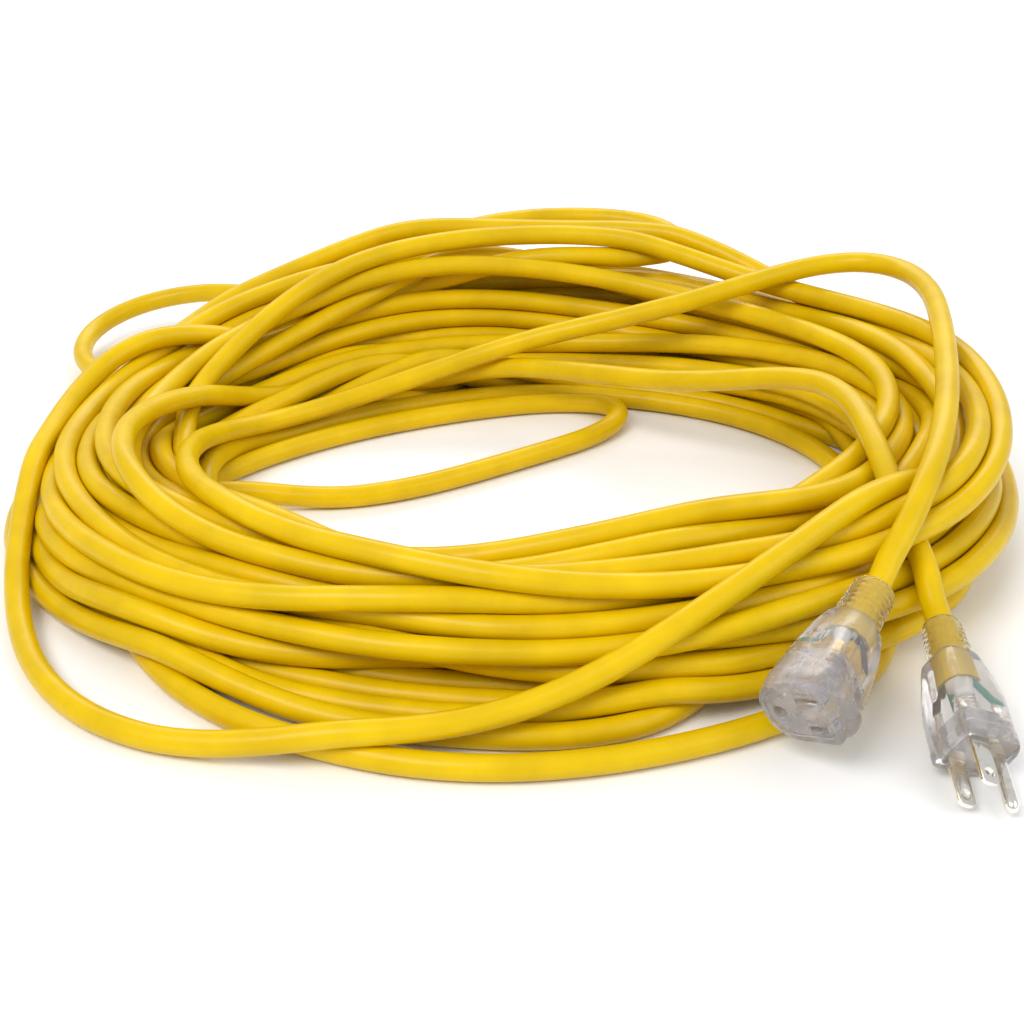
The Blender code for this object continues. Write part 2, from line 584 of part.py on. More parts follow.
def build_ground_contact(look, frame):
    """A round spring socket with its crimp barrel, turned in one piece."""
    profile = [(CONN_CRIMP_X, CRIMP_R), (CONTACT_BACK_X - 0.0006, CRIMP_R), (CONTACT_BACK_X, 0.0032),
               (CONTACT_TIP_X, 0.0032)]
    contact = turned("connector_ground_contact", profile, look, frame, centre=(GROUND_Y, 0.0))
    bore = turned("ground_contact_bore_guide", [(CONTACT_BACK_X + 0.0008, 0.0025), (CONTACT_TIP_X + 0.002, 0.0025)],
                  look, frame, centre=(GROUND_Y, 0.0))
    boolean(contact, bore, "DIFFERENCE")


def build_indicator(frame):
    """The neon lamp and its resistor, with the leads that join them across line and neutral."""
    lamp_y, lamp_z, lamp_x = 0.0014, -0.0058, 0.0280
    glass = material("lamp_glass", AMBER, 0.08, alpha=0.6)
    lamp_end = lamp_x + LAMP_LENGTH
    turned("indicator_lamp", [(lamp_x, LAMP_R * 0.35), (lamp_x + 0.0006, LAMP_R * 0.8), (lamp_x + 0.0014, LAMP_R),
                              (lamp_end - 0.0008, LAMP_R), (lamp_end, LAMP_R * 0.7)], glass, frame,
           centre=(lamp_y, lamp_z), segments=16)
    resistor_y, resistor_z, resistor_x = 0.0052, -0.0052, 0.0284
    resistor_end = resistor_x + RESISTOR_LENGTH
    turned("indicator_resistor", [(resistor_x, RESISTOR_R * 0.7), (resistor_x + 0.0005, RESISTOR_R),
                                  (resistor_x + 0.0014, RESISTOR_R), (resistor_x + 0.0019, RESISTOR_R * 0.84),
                                  (resistor_end - 0.0019, RESISTOR_R * 0.84), (resistor_end - 0.0014, RESISTOR_R),
                                  (resistor_end - 0.0005, RESISTOR_R), (resistor_end, RESISTOR_R * 0.7)],
           material("resistor_tan", TAN, 0.5), frame, centre=(resistor_y, resistor_z), segments=16)
    tin = material("tinned_lead", NICKEL, 0.35, metallic=1.0)
    reach = 0.0014
    link = [(lamp_end + GAP, lamp_y, lamp_z), (lamp_end + reach, lamp_y, lamp_z),
            (lamp_end + reach + 0.0003, (lamp_y + resistor_y) / 2, lamp_z - 0.0004),
            (lamp_end + reach, resistor_y, resistor_z), (resistor_end + GAP, resistor_y, resistor_z)]
    tube("indicator_link_lead", smooth_route([Vector(p) for p in link], 0.0008), LEAD_R, tin, frame, resolution=1)


# ---------------------------------------------------------------- assembly
def frame_along(entry, axis, roll):
    """A place whose +X runs along the axis, with +Z as near to up as the roll allows."""
    forward = axis.normalized()
    left = Vector((0.0, 0.0, 1.0)).cross(forward).normalized()
    up = forward.cross(left)
    turn = Matrix((forward, left, up)).transposed().to_4x4()
    return Matrix.Translation(entry) @ turn @ Matrix.Rotation(roll, 4, "X")


def main():
    for thing in list(bpy.data.objects):
        bpy.data.objects.remove(thing, do_unlink=True)
    whole = empty("extension_cord", Matrix.Translation(SET_PLACE))
    plug_frame = empty("plug", frame_along(PLUG_ENTRY, PLUG_AXIS, PLUG_ROLL), whole)
    connector_frame = empty("connector", frame_along(CONN_ENTRY, CONN_AXIS, CONN_ROLL), whole)
    build_plug(plug_frame)
    build_connector(connector_frame)
    build_coil(whole)
    build_loose_stretches(whole, plug_frame, connector_frame)


main()
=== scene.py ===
from math import cos, pi, radians, sin, tau

import bmesh
import bpy
import numpy as np
from mathutils import Matrix, Vector


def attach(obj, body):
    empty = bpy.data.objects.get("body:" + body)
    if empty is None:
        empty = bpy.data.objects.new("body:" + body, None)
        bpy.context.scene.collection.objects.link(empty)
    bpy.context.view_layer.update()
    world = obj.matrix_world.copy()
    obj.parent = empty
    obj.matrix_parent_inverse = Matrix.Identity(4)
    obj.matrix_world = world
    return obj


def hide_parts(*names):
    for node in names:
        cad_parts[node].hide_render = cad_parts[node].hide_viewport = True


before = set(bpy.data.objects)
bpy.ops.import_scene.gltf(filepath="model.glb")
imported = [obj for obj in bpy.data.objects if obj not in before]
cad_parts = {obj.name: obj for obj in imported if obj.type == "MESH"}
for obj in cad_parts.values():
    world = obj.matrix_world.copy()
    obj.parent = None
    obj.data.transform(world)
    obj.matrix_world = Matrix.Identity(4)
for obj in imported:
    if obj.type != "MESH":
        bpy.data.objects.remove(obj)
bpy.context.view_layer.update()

# ---- dimensions: as in the CAD, but for the coil's, which let the cord's outside match the solid's
CORD_DIAMETER = 0.0093
CORD_R = CORD_DIAMETER / 2
CORD_LENGTH = 30.48  # 100 ft
COIL_A = 0.1735  # the coil's centre line, half its width along X
COIL_B = 0.1335  # half its depth along Y
COIL_SHIFT = 0.0115  # how far the far side is pushed out
COIL_BULGES = ((radians(30), 0.010), (radians(-42), 0.013))  # where it bulges, and how far
SET_PLACE = Vector((0.0039, 0.0066, 0.0))  # puts the origin under the middle of the CAD's box

PLUG_ENTRY = Vector((0.148, -0.1323, 0.0269))
PLUG_AXIS = Vector((0.026, -0.964, -0.265))
PLUG_ROLL = radians(-22.5)
CONN_ENTRY = Vector((0.1242, -0.1313, 0.0406))
CONN_AXIS = Vector((-0.528, -0.802, -0.279))
CONN_ROLL = radians(-159.5)
PLUG_JACKET_X = 0.0285  # where the jacket ends inside the plug
CONN_JACKET_X = 0.0262  # and inside the connector


def frame_along(entry, axis, roll):
    """A place whose +X runs along the axis, with +Z as near to up as the roll allows."""
    forward = axis.normalized()
    left = Vector((0.0, 0.0, 1.0)).cross(forward).normalized()
    up = forward.cross(left)
    turn = Matrix((forward, left, up)).transposed().to_4x4()
    return Matrix.Translation(SET_PLACE + entry) @ turn @ Matrix.Rotation(roll, 4, "X")


PLUG = frame_along(PLUG_ENTRY, PLUG_AXIS, PLUG_ROLL)
CONN = frame_along(CONN_ENTRY, CONN_AXIS, CONN_ROLL)


def add_object(name, data):
    """A new object with that data, in the scene."""
    thing = bpy.data.objects.new(name, data)
    bpy.context.scene.collection.objects.link(thing)
    return thing


# ---- camera
CAMERA_FROM_COIL = Vector((0.0, -0.575, 0.3274))
CAMERA_LENS = 54.25
CAMERA_TILT = radians(60)  # from straight down, so 30 degrees below level

bpy.context.scene.view_settings.view_transform = "Standard"
camera_data = bpy.data.cameras.new("camera")
camera_data.sensor_width = 36.0
camera_data.lens = CAMERA_LENS
camera_data.clip_start = 0.01
camera = add_object("camera", camera_data)
camera.location = SET_PLACE + CAMERA_FROM_COIL
camera.rotation_euler = (CAMERA_TILT, 0.0, 0.0)
bpy.context.scene.camera = camera

# ---- cord: the route
# Loose stretches, in millimetres from the coil's middle: x, y and the height of the centre line.
PLUG_TAIL = [
    (147, -123, 31), (146, -114, 35), (143, -105, 40), (141, -97, 44), (140, -87, 48), (139, -75, 51),
    (138, -62, 54), (137, -46, 56), (136, -29, 58), (134, -13, 59), (130, 0, 59), (121, 8, 57), (108, 14, 52),
    (94, 21, 47), (80, 29, 43), (65, 41, 38), (49, 55, 34), (29, 68, 30), (5, 82, 26), (-22, 94, 22),
]
CONNECTOR_TAIL = [
    (-52, 74, 22), (-33, 80, 26), (-6, 87, 34), (22, 87, 42), (50, 87, 48), (77, 88, 55), (105, 94, 61),
    (133, 104, 66), (157, 108, 69), (170, 102, 71), (179, 87, 72), (183, 63, 73), (180, 30, 73),
    (175, -1, 72), (170, -29, 71), (163, -53, 69), (157, -73, 66), (151, -89, 62), (144, -102, 58),
    (138, -112, 54), (132, -119, 49),
]
LEFT_INNER_TURN = [
    (-72, -104, 44), (-97, -90, 44), (-114, -73, 42), (-126, -50, 40), (-132, -22, 37), (-133, 8, 34),
    (-124, 34, 31), (-103, 53, 28), (-78, 65, 25),
]
LEFT_FRONT_LOOP = [
    (-182, 55, 38), (-191, 20, 27), (-194, -18, 14), (-193, -48, 7), (-188, -82, 5), (-178, -111, 5),
    (-160, -141, 5), (-140, -159, 5), (-119, -168, 7), (-100, -172, 11), (-83, -174, 15), (-65, -175, 18),
    (-42, -175, 25), (-15, -171, 34), (14, -164, 42), (44, -153, 47), (76, -135, 52), (104, -118, 55),
    (130, -95, 56),
]
FRONT_LOOP = [
    (-143, -106, 5), (-127, -128, 5), (-103, -150, 5), (-81, -165, 5), (-52, -177, 5), (-20, -183, 5),
    (12, -182, 5), (45, -175, 5), (76, -164, 5), (104, -148, 5), (128, -126, 5),
]
INNER_KINK = [
    (-152, -20, 7), (-144, -4, 6), (-130, 13, 5), (-113, 29, 5), (-96, 43, 5), (-78, 56, 5), (-54, 67, 5),
    (-28, 76, 5), (0, 84, 5), (25, 89, 5), (43, 89, 5), (56, 82, 5), (57, 70, 5), (45, 60, 5), (24, 48, 5),
    (3, 34, 5), (-24, 15, 5), (-47, 2, 5), (-70, -8, 5), (-92, -9, 5), (-115, -3, 6), (-137, -5, 8),
    (-152, -18, 10), (-160, -40, 10),
]
BACK_LEFT_LOOP = [
    (-105, 156, 30), (-139, 176, 26), (-167, 183, 23), (-192, 181, 19), (-209, 172, 16), (-217, 157, 13),
    (-216, 134, 11), (-206, 113, 9), (-187, 98, 8), (-160, 89, 8), (-130, 90, 8),
]
TOP_BACK_LOOP = [
    (-104, 134, 48), (-86, 141, 52), (-69, 149, 56), (-54, 160, 58), (-38, 170, 61), (-18, 178, 63),
    (5, 182, 64), (33, 183, 64), (58, 179, 64), (78, 169, 65), (88, 154, 66), (83, 142, 66), (65, 137, 65),
    (37, 137, 63), (6, 138, 60), (-25, 140, 55), (-52, 140, 48),
]
FLOOR_TURN_LEFT = [(-28, 160, 5), (-66, 154, 5), (-90, 133, 5), (-92, 109, 5), (-72, 94, 5), (-38, 94, 5)]
FLOOR_TURN_RIGHT = [
    (102, -122, 5), (136, -110, 5), (158, -84, 5), (151, -56, 5), (127, -47, 5), (100, -60, 5), (72, -84, 5),
]

RANDOM_SEED = 7
STEP = CORD_R  # spacing of the points that settle
POINTS_PER_TURN = 14
LANE_HALF = 0.034  # half the width that the turns' centre lines take up, near side
FAR_SPREAD = 0.30  # extra width on the far side
LANE_STEP = 0.6180339887  # share of the width from one turn's lane to the next, the golden ratio
LANE_START = 0.21
LANE_NARROWING = 0.42  # how much narrower the pile is at its top
SWAY = (0.003, 0.009)  # least and most that a turn strays from its lane, once round
WAVE = (0.000, 0.003)  # and twice round
TURN_HOLD = 0.003  # how firmly a wound turn keeps its place in plan


def coil_point(theta, rho):
    """Points beside the coil's centre line, rho outwards."""
    c, s = np.cos(theta), np.sin(theta)
    centre = np.stack([COIL_A * c, COIL_B * s + COIL_SHIFT * s * s], -1)
    normal = np.stack([COIL_B * c + 2 * COIL_SHIFT * s * c, COIL_A * s], -1)
    normal /= np.linalg.norm(normal, axis=-1, keepdims=True)
    bulge = sum(far * np.maximum(0, np.cos(theta - at)) ** 3 for at, far in COIL_BULGES)
    return centre + normal * (rho + bulge)[..., None]


def smooth_curve(points, per=12):
    """A Catmull-Rom curve through the points."""
    padded = np.vstack([2 * points[0] - points[1], points, 2 * points[-1] - points[-2]])
    t = np.linspace(0, 1, per, endpoint=False)[:, None]
    pieces = []
    for a, b, c, d in zip(padded[:-3], padded[1:-2], padded[2:-1], padded[3:]):
        pieces.append(0.5 * (2 * b + (c - a) * t + (2 * a - 5 * b + 4 * c - d) * t ** 2
                             + (3 * b - a - 3 * c + d) * t ** 3))
    return np.vstack([*pieces, padded[-2][None]])


def evenly(points, count):
    """The curve again, as that many points at equal distances, and its length."""
    steps = np.linalg.norm(np.diff(points[:, :3], axis=0), axis=1)
    at = np.concatenate([[0.0], np.cumsum(steps)])
    wanted = np.linspace(0.0, at[-1], count)
    return np.stack([np.interp(wanted, at, column) for column in points.T], -1), at[-1]


def wound_turns(random, start_deg, end_deg, low, high, first):
    """One leg of turns, each in its own lane across the bundle: the same columns as loose() gives."""
    theta0, theta1 = radians(start_deg), radians(end_deg)
    turns = abs(theta1 - theta0) / tau
    count = int(round(turns * POINTS_PER_TURN))
    knots = int(np.ceil(turns)) + 2
    t = np.linspace(0, 1, count + 1)
    theta = theta0 + (theta1 - theta0) * t
    order = low + (high - low) * t
    share = np.minimum(np.arange(knots) / max(turns, 1e-6), 1)
    narrowing = 1 - LANE_NARROWING * (low + (high - low) * share) ** 1.5
    lanes = 2 * (((first + np.arange(knots)) * LANE_STEP + LANE_START) % 1) - 1
    lanes = lanes * LANE_HALF * narrowing
    sway, sway_at = random.uniform(*SWAY, knots), random.uniform(0, tau, knots)
    wave, wave_at = random.uniform(*WAVE, knots), random.uniform(0, tau, knots)

    def along(values):
        k = np.clip((t * turns).astype(int), 0, knots - 2)
        f = t * turns - k
        f = f * f * (3 - 2 * f)
        return values[k] * (1 - f) + values[k + 1] * f

    rho = (along(lanes) + along(sway * np.cos(sway_at)) * np.cos(theta)
           + along(sway * np.sin(sway_at)) * np.sin(theta))
    rho += (along(wave * np.cos(wave_at)) * np.cos(2 * theta)
            + along(wave * np.sin(wave_at)) * np.sin(2 * theta))
    rho *= 1 + FAR_SPREAD * (1 + np.sin(theta)) / 2
    return np.column_stack([coil_point(theta, rho), np.zeros(count + 1), order,
                            np.full(count + 1, TURN_HOLD), np.zeros(count + 1)])


def loose(points, low, high, hold=0.02, hold_height=0.0):
    """A loose stretch: x, y, z in metres, stacking order, and how firmly it keeps its place and height."""
    count = len(points)
    return np.column_stack([np.array(points, float) / 1000, np.linspace(low, high, count),
                            np.full(count, hold), np.full(count, hold_height)])


def axis_points(place, stations):
    """Points on an end's own axis, in millimetres from the coil's middle."""
    return [tuple(1000 * (place @ Vector((x, 0.0, 0.0)) - SET_PLACE)) for x in stations]


def cord_route():
    """The whole cord from plug to connector, as evenly spaced rows with loose()'s columns.

    A loose stretch gives its first and last stacking order, 0 at the floor to 1 on top. A leg of turns gives
    its first and last angle in degrees, two such orders and its first turn's number, which sets the lanes.
    """
    random = np.random.default_rng(RANDOM_SEED)
    legs = [
        loose(axis_points(PLUG, (PLUG_JACKET_X, 0.018, 0.008, -0.004)), 1.02, 1.02, 0.1, 0.1),
        loose(PLUG_TAIL, 1.02, 0.95, 0.05, 0.05),
        wound_turns(random, 128, 112 + 360 * 6, 0.93, 0.50, 0),
        loose(BACK_LEFT_LOOP, 0.49, 0.46, 0.03, 0.02),
        wound_turns(random, 120, 199 - 360 * 6, 0.45, 0.10, 7),
        loose(INNER_KINK, 0.02, 0.03),
        loose(FRONT_LOOP, 0.02, 0.03),
        wound_turns(random, -25, 85, 0.03, 0.04, 13),
        loose(FLOOR_TURN_LEFT, 0.04, 0.05),
        wound_turns(random, 88, 140 - 360 * 5, 0.06, 0.80, 20),
        loose(TOP_BACK_LOOP, 0.84, 0.84, 0.03, 0.03),
        wound_turns(random, 118, 150, 0.82, 0.83, 33),
        loose(LEFT_FRONT_LOOP, 0.93, 1.00, 0.05),
        wound_turns(random, -20, -60 + 360 * 5, 0.86, 0.16, 27),
        loose(FLOOR_TURN_RIGHT, 0.14, 0.14),
        wound_turns(random, -75, 262 - 360 * 7, 0.15, 0.93, 40),
        loose(LEFT_INNER_TURN, 0.95, 0.97, 0.03, 0.0),
        loose(CONNECTOR_TAIL, 0.97, 1.04, 0.05, 0.05),
        loose(axis_points(CONN, (-0.004, 0.008, 0.018, CONN_JACKET_X)), 1.04, 1.04, 0.1, 0.1),
    ]
    points, _ = evenly(smooth_curve(np.vstack(legs), 10), int(round(CORD_LENGTH / STEP)) + 1)
    return points


# ---- cord: laid down and settled
CELL = 0.002  # the height map's
MARGIN = 0.03  # round the height map
CHUNK = 24  # points in a stretch laid down at once
NESTING = 0.93  # how high a strand sits on the one below, against lying on top of it
SAG = 0.001  # how far a strand may sink into what lies below, to stay smooth


def lay_down(xy, order):
    """Height of each point when short stretches are laid on the floor one after another."""
    low = xy.min(0) - MARGIN
    size = ((xy.max(0) + MARGIN - low) / CELL).astype(int) + 1
    surface = np.full(size, CORD_R)
    reach = int(CORD_DIAMETER / CELL) + 1
    ox, oy = np.meshgrid(np.arange(-reach, reach + 1), np.arange(-reach, reach + 1), indexing="ij")
    square = (ox * CELL) ** 2 + (oy * CELL) ** 2
    inside = square < CORD_DIAMETER ** 2
    ox, oy = ox[inside], oy[inside]
    rise = NESTING * np.sqrt(CORD_DIAMETER ** 2 - square[inside])
    cells = ((xy - low) / CELL).astype(int)
    z = np.zeros(len(xy))
    chunks = [np.arange(a, min(a + CHUNK, len(xy))) for a in range(0, len(xy), CHUNK)]
    chunks.sort(key=lambda chunk: order[chunk].mean())
    for chunk in chunks:
        need = surface[cells[chunk, 0], cells[chunk, 1]]
        height = need.copy()
        for _ in range(6):
            level = np.convolve(np.pad(height, 3, mode="edge"), np.ones(7) / 7, mode="valid")
            height = np.maximum(level, need - SAG)
        z[chunk] = height
        for (cx, cy), h in zip(cells[chunk], height):
            np.maximum.at(surface, (cx + ox, cy + oy), h + rise)
    return z


def near_pairs(points, reach, skip):
    """Index pairs of points closer than reach that are more than skip apart along the cord."""
    cell = np.floor(points / reach).astype(np.int64)
    cell -= cell.min(0) - 1
    size = cell.max(0) + 2
    key = (cell[:, 0] * size[1] + cell[:, 1]) * size[2] + cell[:, 2]
    order = np.argsort(key, kind="stable")
    used, start, count = np.unique(key[order], return_index=True, return_counts=True)
    firsts, seconds = [], []
    for shift in np.ndindex(3, 3, 3):
        dx, dy, dz = np.array(shift) - 1
        offset = (dx * size[1] + dy) * size[2] + dz
        if offset < 0:
            continue
        at = np.searchsorted(used, key + offset)
        at[at == len(used)] = 0
        found = used[at] == key + offset
        begin, number = start[at[found]], count[at[found]]
        i = np.repeat(np.nonzero(found)[0], number)
        within = np.arange(number.sum()) - np.repeat(np.cumsum(number) - number, number)
        j = order[np.repeat(begin, number) + within]
        keep = (i < j) if offset == 0 else np.ones(len(i), bool)
        keep &= np.abs(i - j) > skip
        i, j = i[keep], j[keep]
        close = ((points[i] - points[j]) ** 2).sum(1) < reach * reach
        firsts.append(i[close])
        seconds.append(j[close])
    return np.concatenate(firsts), np.concatenate(seconds)


SETTLE_STEPS = 420
GRAVITY = 0.00005  # fall in one step
STIFFNESS = 0.042  # share of a bend taken out in one step
PAIR_REACH = CORD_DIAMETER * 1.35  # points nearer than this are watched for contact
PAIR_SKIP = 6  # neighbours along the cord that don't count as a contact
PARALLEL = 0.7  # cosine above which two stretches run side by side


def settle(points, home, free, hold, gravity):
    """Let the cord settle: gravity, bending stiffness, contact with itself and the floor, fixed length."""
    points = points.copy()
    loose_part = free[:, None]
    hold = hold * loose_part
    count = len(points)
    spacing = CORD_LENGTH / (count - 1)
    for step in range(SETTLE_STEPS):
        if step % 5 == 0:
            first, second = near_pairs(points, PAIR_REACH, PAIR_SKIP)
        points[:, 2] -= gravity
        points += (home - points) * hold
        for k in (4, 2, 1):
            bend = (points[:-4 * k] - 4 * points[k:-3 * k] + 6 * points[2 * k:-2 * k]
                    - 4 * points[3 * k:-k] + points[4 * k:])
            points[2 * k:-2 * k] -= STIFFNESS * bend * loose_part[2 * k:-2 * k]
        for _ in range(2):
            tangent = np.gradient(points, axis=0)
            tangent /= np.linalg.norm(tangent, axis=1, keepdims=True)
            apart = points[second] - points[first]
            facing = (tangent[first] * tangent[second]).sum(1)
            along = tangent[first] + np.where(facing < 0, -1.0, 1.0)[:, None] * tangent[second]
            along /= np.linalg.norm(along, axis=1, keepdims=True)
            slide = (apart * along).sum(1)
            parallel = np.abs(facing) > PARALLEL
            apart -= np.where(parallel, slide, 0.0)[:, None] * along
            distance = np.sqrt((apart * apart).sum(1)) + 1e-12
            depth = np.where(parallel & (np.abs(slide) > 0.75 * STEP), 0.0, CORD_DIAMETER - distance)
            hit = depth > 0
            i, j = first[hit], second[hit]
            push = apart[hit] * (0.5 * depth[hit] / distance[hit])[:, None]
            moved = np.stack([np.bincount(j, column, count) - np.bincount(i, column, count)
                              for column in push.T], -1)
            hits = np.bincount(i, minlength=count) + np.bincount(j, minlength=count)
            points += moved / np.maximum(1, hits * 0.6)[:, None] * loose_part
            for odd in (0, 1):
                a = np.arange(odd, count - 1, 2)
                gap = points[a + 1] - points[a]
                length = np.linalg.norm(gap, axis=1)
                fix = gap * (0.5 * (length - spacing) / length)[:, None]
                points[a] += fix * loose_part[a]
                points[a + 1] -= fix * loose_part[a + 1]
            points[:, 2] = np.maximum(points[:, 2], CORD_R)
    return points


def fair(points, times, free):
    """Take the last small ripples out of the centre line."""
    points = points.copy()
    for _ in range(times):
        smooth = points.copy()
        smooth[2:-2] = (-points[:-4] + 4 * points[1:-3] + 10 * points[2:-2]
                        + 4 * points[3:-1] - points[4:]) / 16
        points += (smooth - points) * free[:, None]
    return points


NEAR_PACKING = 0.36  # how much of its loose height the pile starts with, near side
FAR_PACKING = 0.84  # the far side is wound more loosely, so it packs less
FULL_HOLD = 0.05  # a stretch held this firmly in height keeps its drawn height
PINNED = 9  # points at each end that don't move
FAIRING = 12  # rounds of smoothing at the end
FLOOR_GAP = 0.0001


def settled_cord():
    """The cord's centre line in the frame: drawn, piled up, settled and smoothed."""
    route = cord_route()
    points = route[:, :3].copy()
    held = np.minimum(route[:, 5] / FULL_HOLD, 1)
    farness = np.clip(0.45 + (route[:, 1] + 0.25 * route[:, 0]) / 0.26, 0, 1)
    packing = NEAR_PACKING + (FAR_PACKING - NEAR_PACKING) * farness
    pile = CORD_R + packing * (lay_down(route[:, :2], route[:, 3]) - CORD_R)
    points[:, 2] = np.where(held > 0, np.maximum(route[:, 2], held * pile), pile)
    points[:PINNED] = route[:PINNED, :3]
    points[-PINNED:] = route[-PINNED:, :3]
    free = np.ones(len(points))
    free[:PINNED] = 0
    free[-PINNED:] = 0
    home = points.copy()
    home[held > 0, 2] = route[held > 0, 2]
    points = settle(points, home, free, route[:, [4, 4, 5]], GRAVITY * (1 - held) * free)
    points = fair(points, FAIRING, free)
    points[:, 2] = np.maximum(points[:, 2], CORD_R + FLOOR_GAP)
    return points + np.array(SET_PLACE)


CENTRE_LINE = settled_cord()

# ---- ends, as in the CAD
BLADE_PITCH = 0.0127
BLADE_WIDTH = 0.00635
BLADE_THICK = 0.0015
BLADE_HOLE_R = 0.0016
BLADE_Y = -0.0040  # the flat blades' side of the end's axis
BLADE_Z = BLADE_PITCH / 2
GROUND_Y = 0.0079
PIN_R = 0.0024
WIRE_R = 0.00165
WIRE_LAY_R = 0.0021  # the conductors' distance from the cord's axis
WIRE_Z = BLADE_Z - 0.0006  # their crimps sit a little nearer the middle than the blades
CRIMP_R = 0.0020
CRIMP_LENGTH = 0.0058
PLUG_RELIEF_END = 0.0160
PLUG_FACE_X = 0.0545
PLUG_CRIMP_X = 0.0375
BLADE_TIP_X = 0.0716
PIN_TIP_X = 0.0747
CONN_RELIEF_END = 0.0175
CONN_FACE_X = 0.060
CONN_CRIMP_X = 0.0345


# ---- material helpers
class Nodes:
    """A material under construction: its node tree, its shader and short ways to add to them."""

    def __init__(self, name):
        self.material = bpy.data.materials.new(name)
        self.material.use_nodes = True
        self.tree = self.material.node_tree
        self.shader = self.tree.nodes["Principled BSDF"]

    def add(self, kind, settings=None, **inputs):
        node = self.tree.nodes.new("ShaderNode" + kind)
        for key, value in (settings or {}).items():
            setattr(node, key, value)
        for key, value in inputs.items():
            self.feed(node.inputs[key.replace("_", " ")], value)
        return node

    def feed(self, socket, value):
        if isinstance(value, bpy.types.NodeSocket):
            self.tree.links.new(value, socket)
        else:
            socket.default_value = value

    def place(self):
        return self.add("TexCoord").outputs["Object"]

    def along(self):
        return self.add("TexCoord").outputs["UV"]

    def stretched(self, vector, scale):
        return self.add("Mapping", Vector=vector, Scale=scale).outputs["Vector"]

    def noise(self, vector, scale, detail=4.0, roughness=0.55):
        node = self.add("TexNoise", Vector=vector, Scale=scale, Detail=detail, Roughness=roughness)
        return node.outputs["Fac"]

    def ramp(self, value, *stops, kind="LINEAR"):
        """Each stop is (position, colour or grey level)."""
        node = self.add("ValToRGB", Fac=value)
        ramp = node.color_ramp
        ramp.interpolation = kind
        while len(ramp.elements) < len(stops):
            ramp.elements.new(1.0)
        for element, (at, colour) in zip(ramp.elements, stops):
            element.position = at
            element.color = (*colour, 1.0) if isinstance(colour, tuple) else (colour, colour, colour, 1.0)
        return node.outputs["Color"]

    def mixed(self, factor, a, b, blend="MIX"):
        node = self.add("Mix", {"data_type": "RGBA", "blend_type": blend})
        self.feed(node.inputs[0], factor)
        self.feed(node.inputs[6], a if isinstance(a, bpy.types.NodeSocket) else (*a, 1.0))
        self.feed(node.inputs[7], b if isinstance(b, bpy.types.NodeSocket) else (*b, 1.0))
        return node.outputs[2]

    def maths(self, operation, a, b=0.0):
        node = self.add("Math", {"operation": operation})
        self.feed(node.inputs[0], a)
        self.feed(node.inputs[1], b)
        return node.outputs[0]

    def spread(self, value, low, high):
        return self.add("MapRange", Value=value, To_Min=low, To_Max=high).outputs["Result"]

    def bumps(self, *layers):
        """Each layer is (height, strength, depth in metres)."""
        normal = None
        for height, strength, depth in layers:
            node = self.add("Bump", Height=height, Strength=strength, Distance=depth)
            if normal is not None:
                self.feed(node.inputs["Normal"], normal)
            normal = node.outputs["Normal"]
        self.feed(self.shader.inputs["Normal"], normal)

    def surface(self, **inputs):
        for key, value in inputs.items():
            if isinstance(value, tuple):
                value = (*value, 1.0)
            self.feed(self.shader.inputs[key.replace("_", " ")], value)
        return self.material


CORES = 3


def jacket_material():
    """Soft yellow PVC: uneven colour, a faint twist of the cores beneath, scuffs and handling marks."""
    n = Nodes("jacket_pvc")
    place, along = n.place(), n.along()
    drift = n.ramp(n.noise(n.stretched(along, (0.0, 0.9, 0.0)), 1.0, 3.0),
                   (0.3, (0.700, 0.452, 0.0005)), (0.7, (0.785, 0.527, 0.0012)))
    mottle = n.ramp(n.noise(place, 38.0, 5.0), (0.35, (0.86, 0.86, 0.84)), (0.65, (1.0, 1.0, 1.0)))
    colour = n.mixed(1.0, drift, mottle, "MULTIPLY")
    grime = n.ramp(n.noise(place, 70.0, 8.0, 0.7), (0.60, 0.0), (0.78, 1.0))
    colour = n.mixed(n.maths("MULTIPLY", grime, 0.20), colour, (0.33, 0.20, 0.02))
    streaks = n.ramp(n.noise(n.stretched(along, (9.0, 30.0, 1.0)), 6.0, 4.0, 0.6), (0.66, 0.0), (0.74, 1.0))
    colour = n.mixed(n.maths("MULTIPLY", streaks, 0.16), colour, (0.84, 0.66, 0.14))
    turns = n.add("SeparateXYZ", Vector=n.stretched(along, (1.0, 0.25, 0.0)))
    lay = n.maths("ADD", turns.outputs[0], turns.outputs[1])
    lay = n.maths("SINE", n.maths("MULTIPLY", lay, CORES * tau))
    peel = n.noise(place, 1500.0, 3.0)
    rings = n.noise(n.stretched(along, (2.0, 23.0, 0.0)), 2.0, 4.0)
    n.bumps((n.maths("MULTIPLY", lay, 0.5), 0.30, 0.00022), (rings, 0.02, 0.00006),
            (peel, 0.16, 0.00006), (streaks, 0.15, 0.00005))
    rough = n.spread(n.noise(place, 120.0, 5.0), 0.25, 0.37)
    rough = n.maths("ADD", rough, n.maths("MULTIPLY", grime, 0.12))
    return n.surface(Base_Color=colour, Roughness=rough, IOR=1.50, Specular_IOR_Level=0.20)


def clear_material(name, tint, low_rough, high_rough, waviness, clearness, bending):
    """Clear moulded PVC: a faint tint, soft ripples from the mould and hazy patches."""
    n = Nodes(name)
    place = n.place()
    cloud = n.noise(place, 160.0, 4.0)
    darker = tuple(0.86 * c for c in tint)
    colour = n.mixed(cloud, darker, tint)
    ripple = n.noise(place, 240.0, 2.0)
    fine = n.noise(place, 1700.0, 3.0)
    n.bumps((ripple, waviness, 0.0006), (fine, 0.12, 0.00006))
    return n.surface(Base_Color=colour, Roughness=n.spread(cloud, low_rough, high_rough), IOR=bending,
                     Transmission_Weight=clearness, Specular_IOR_Level=0.5)


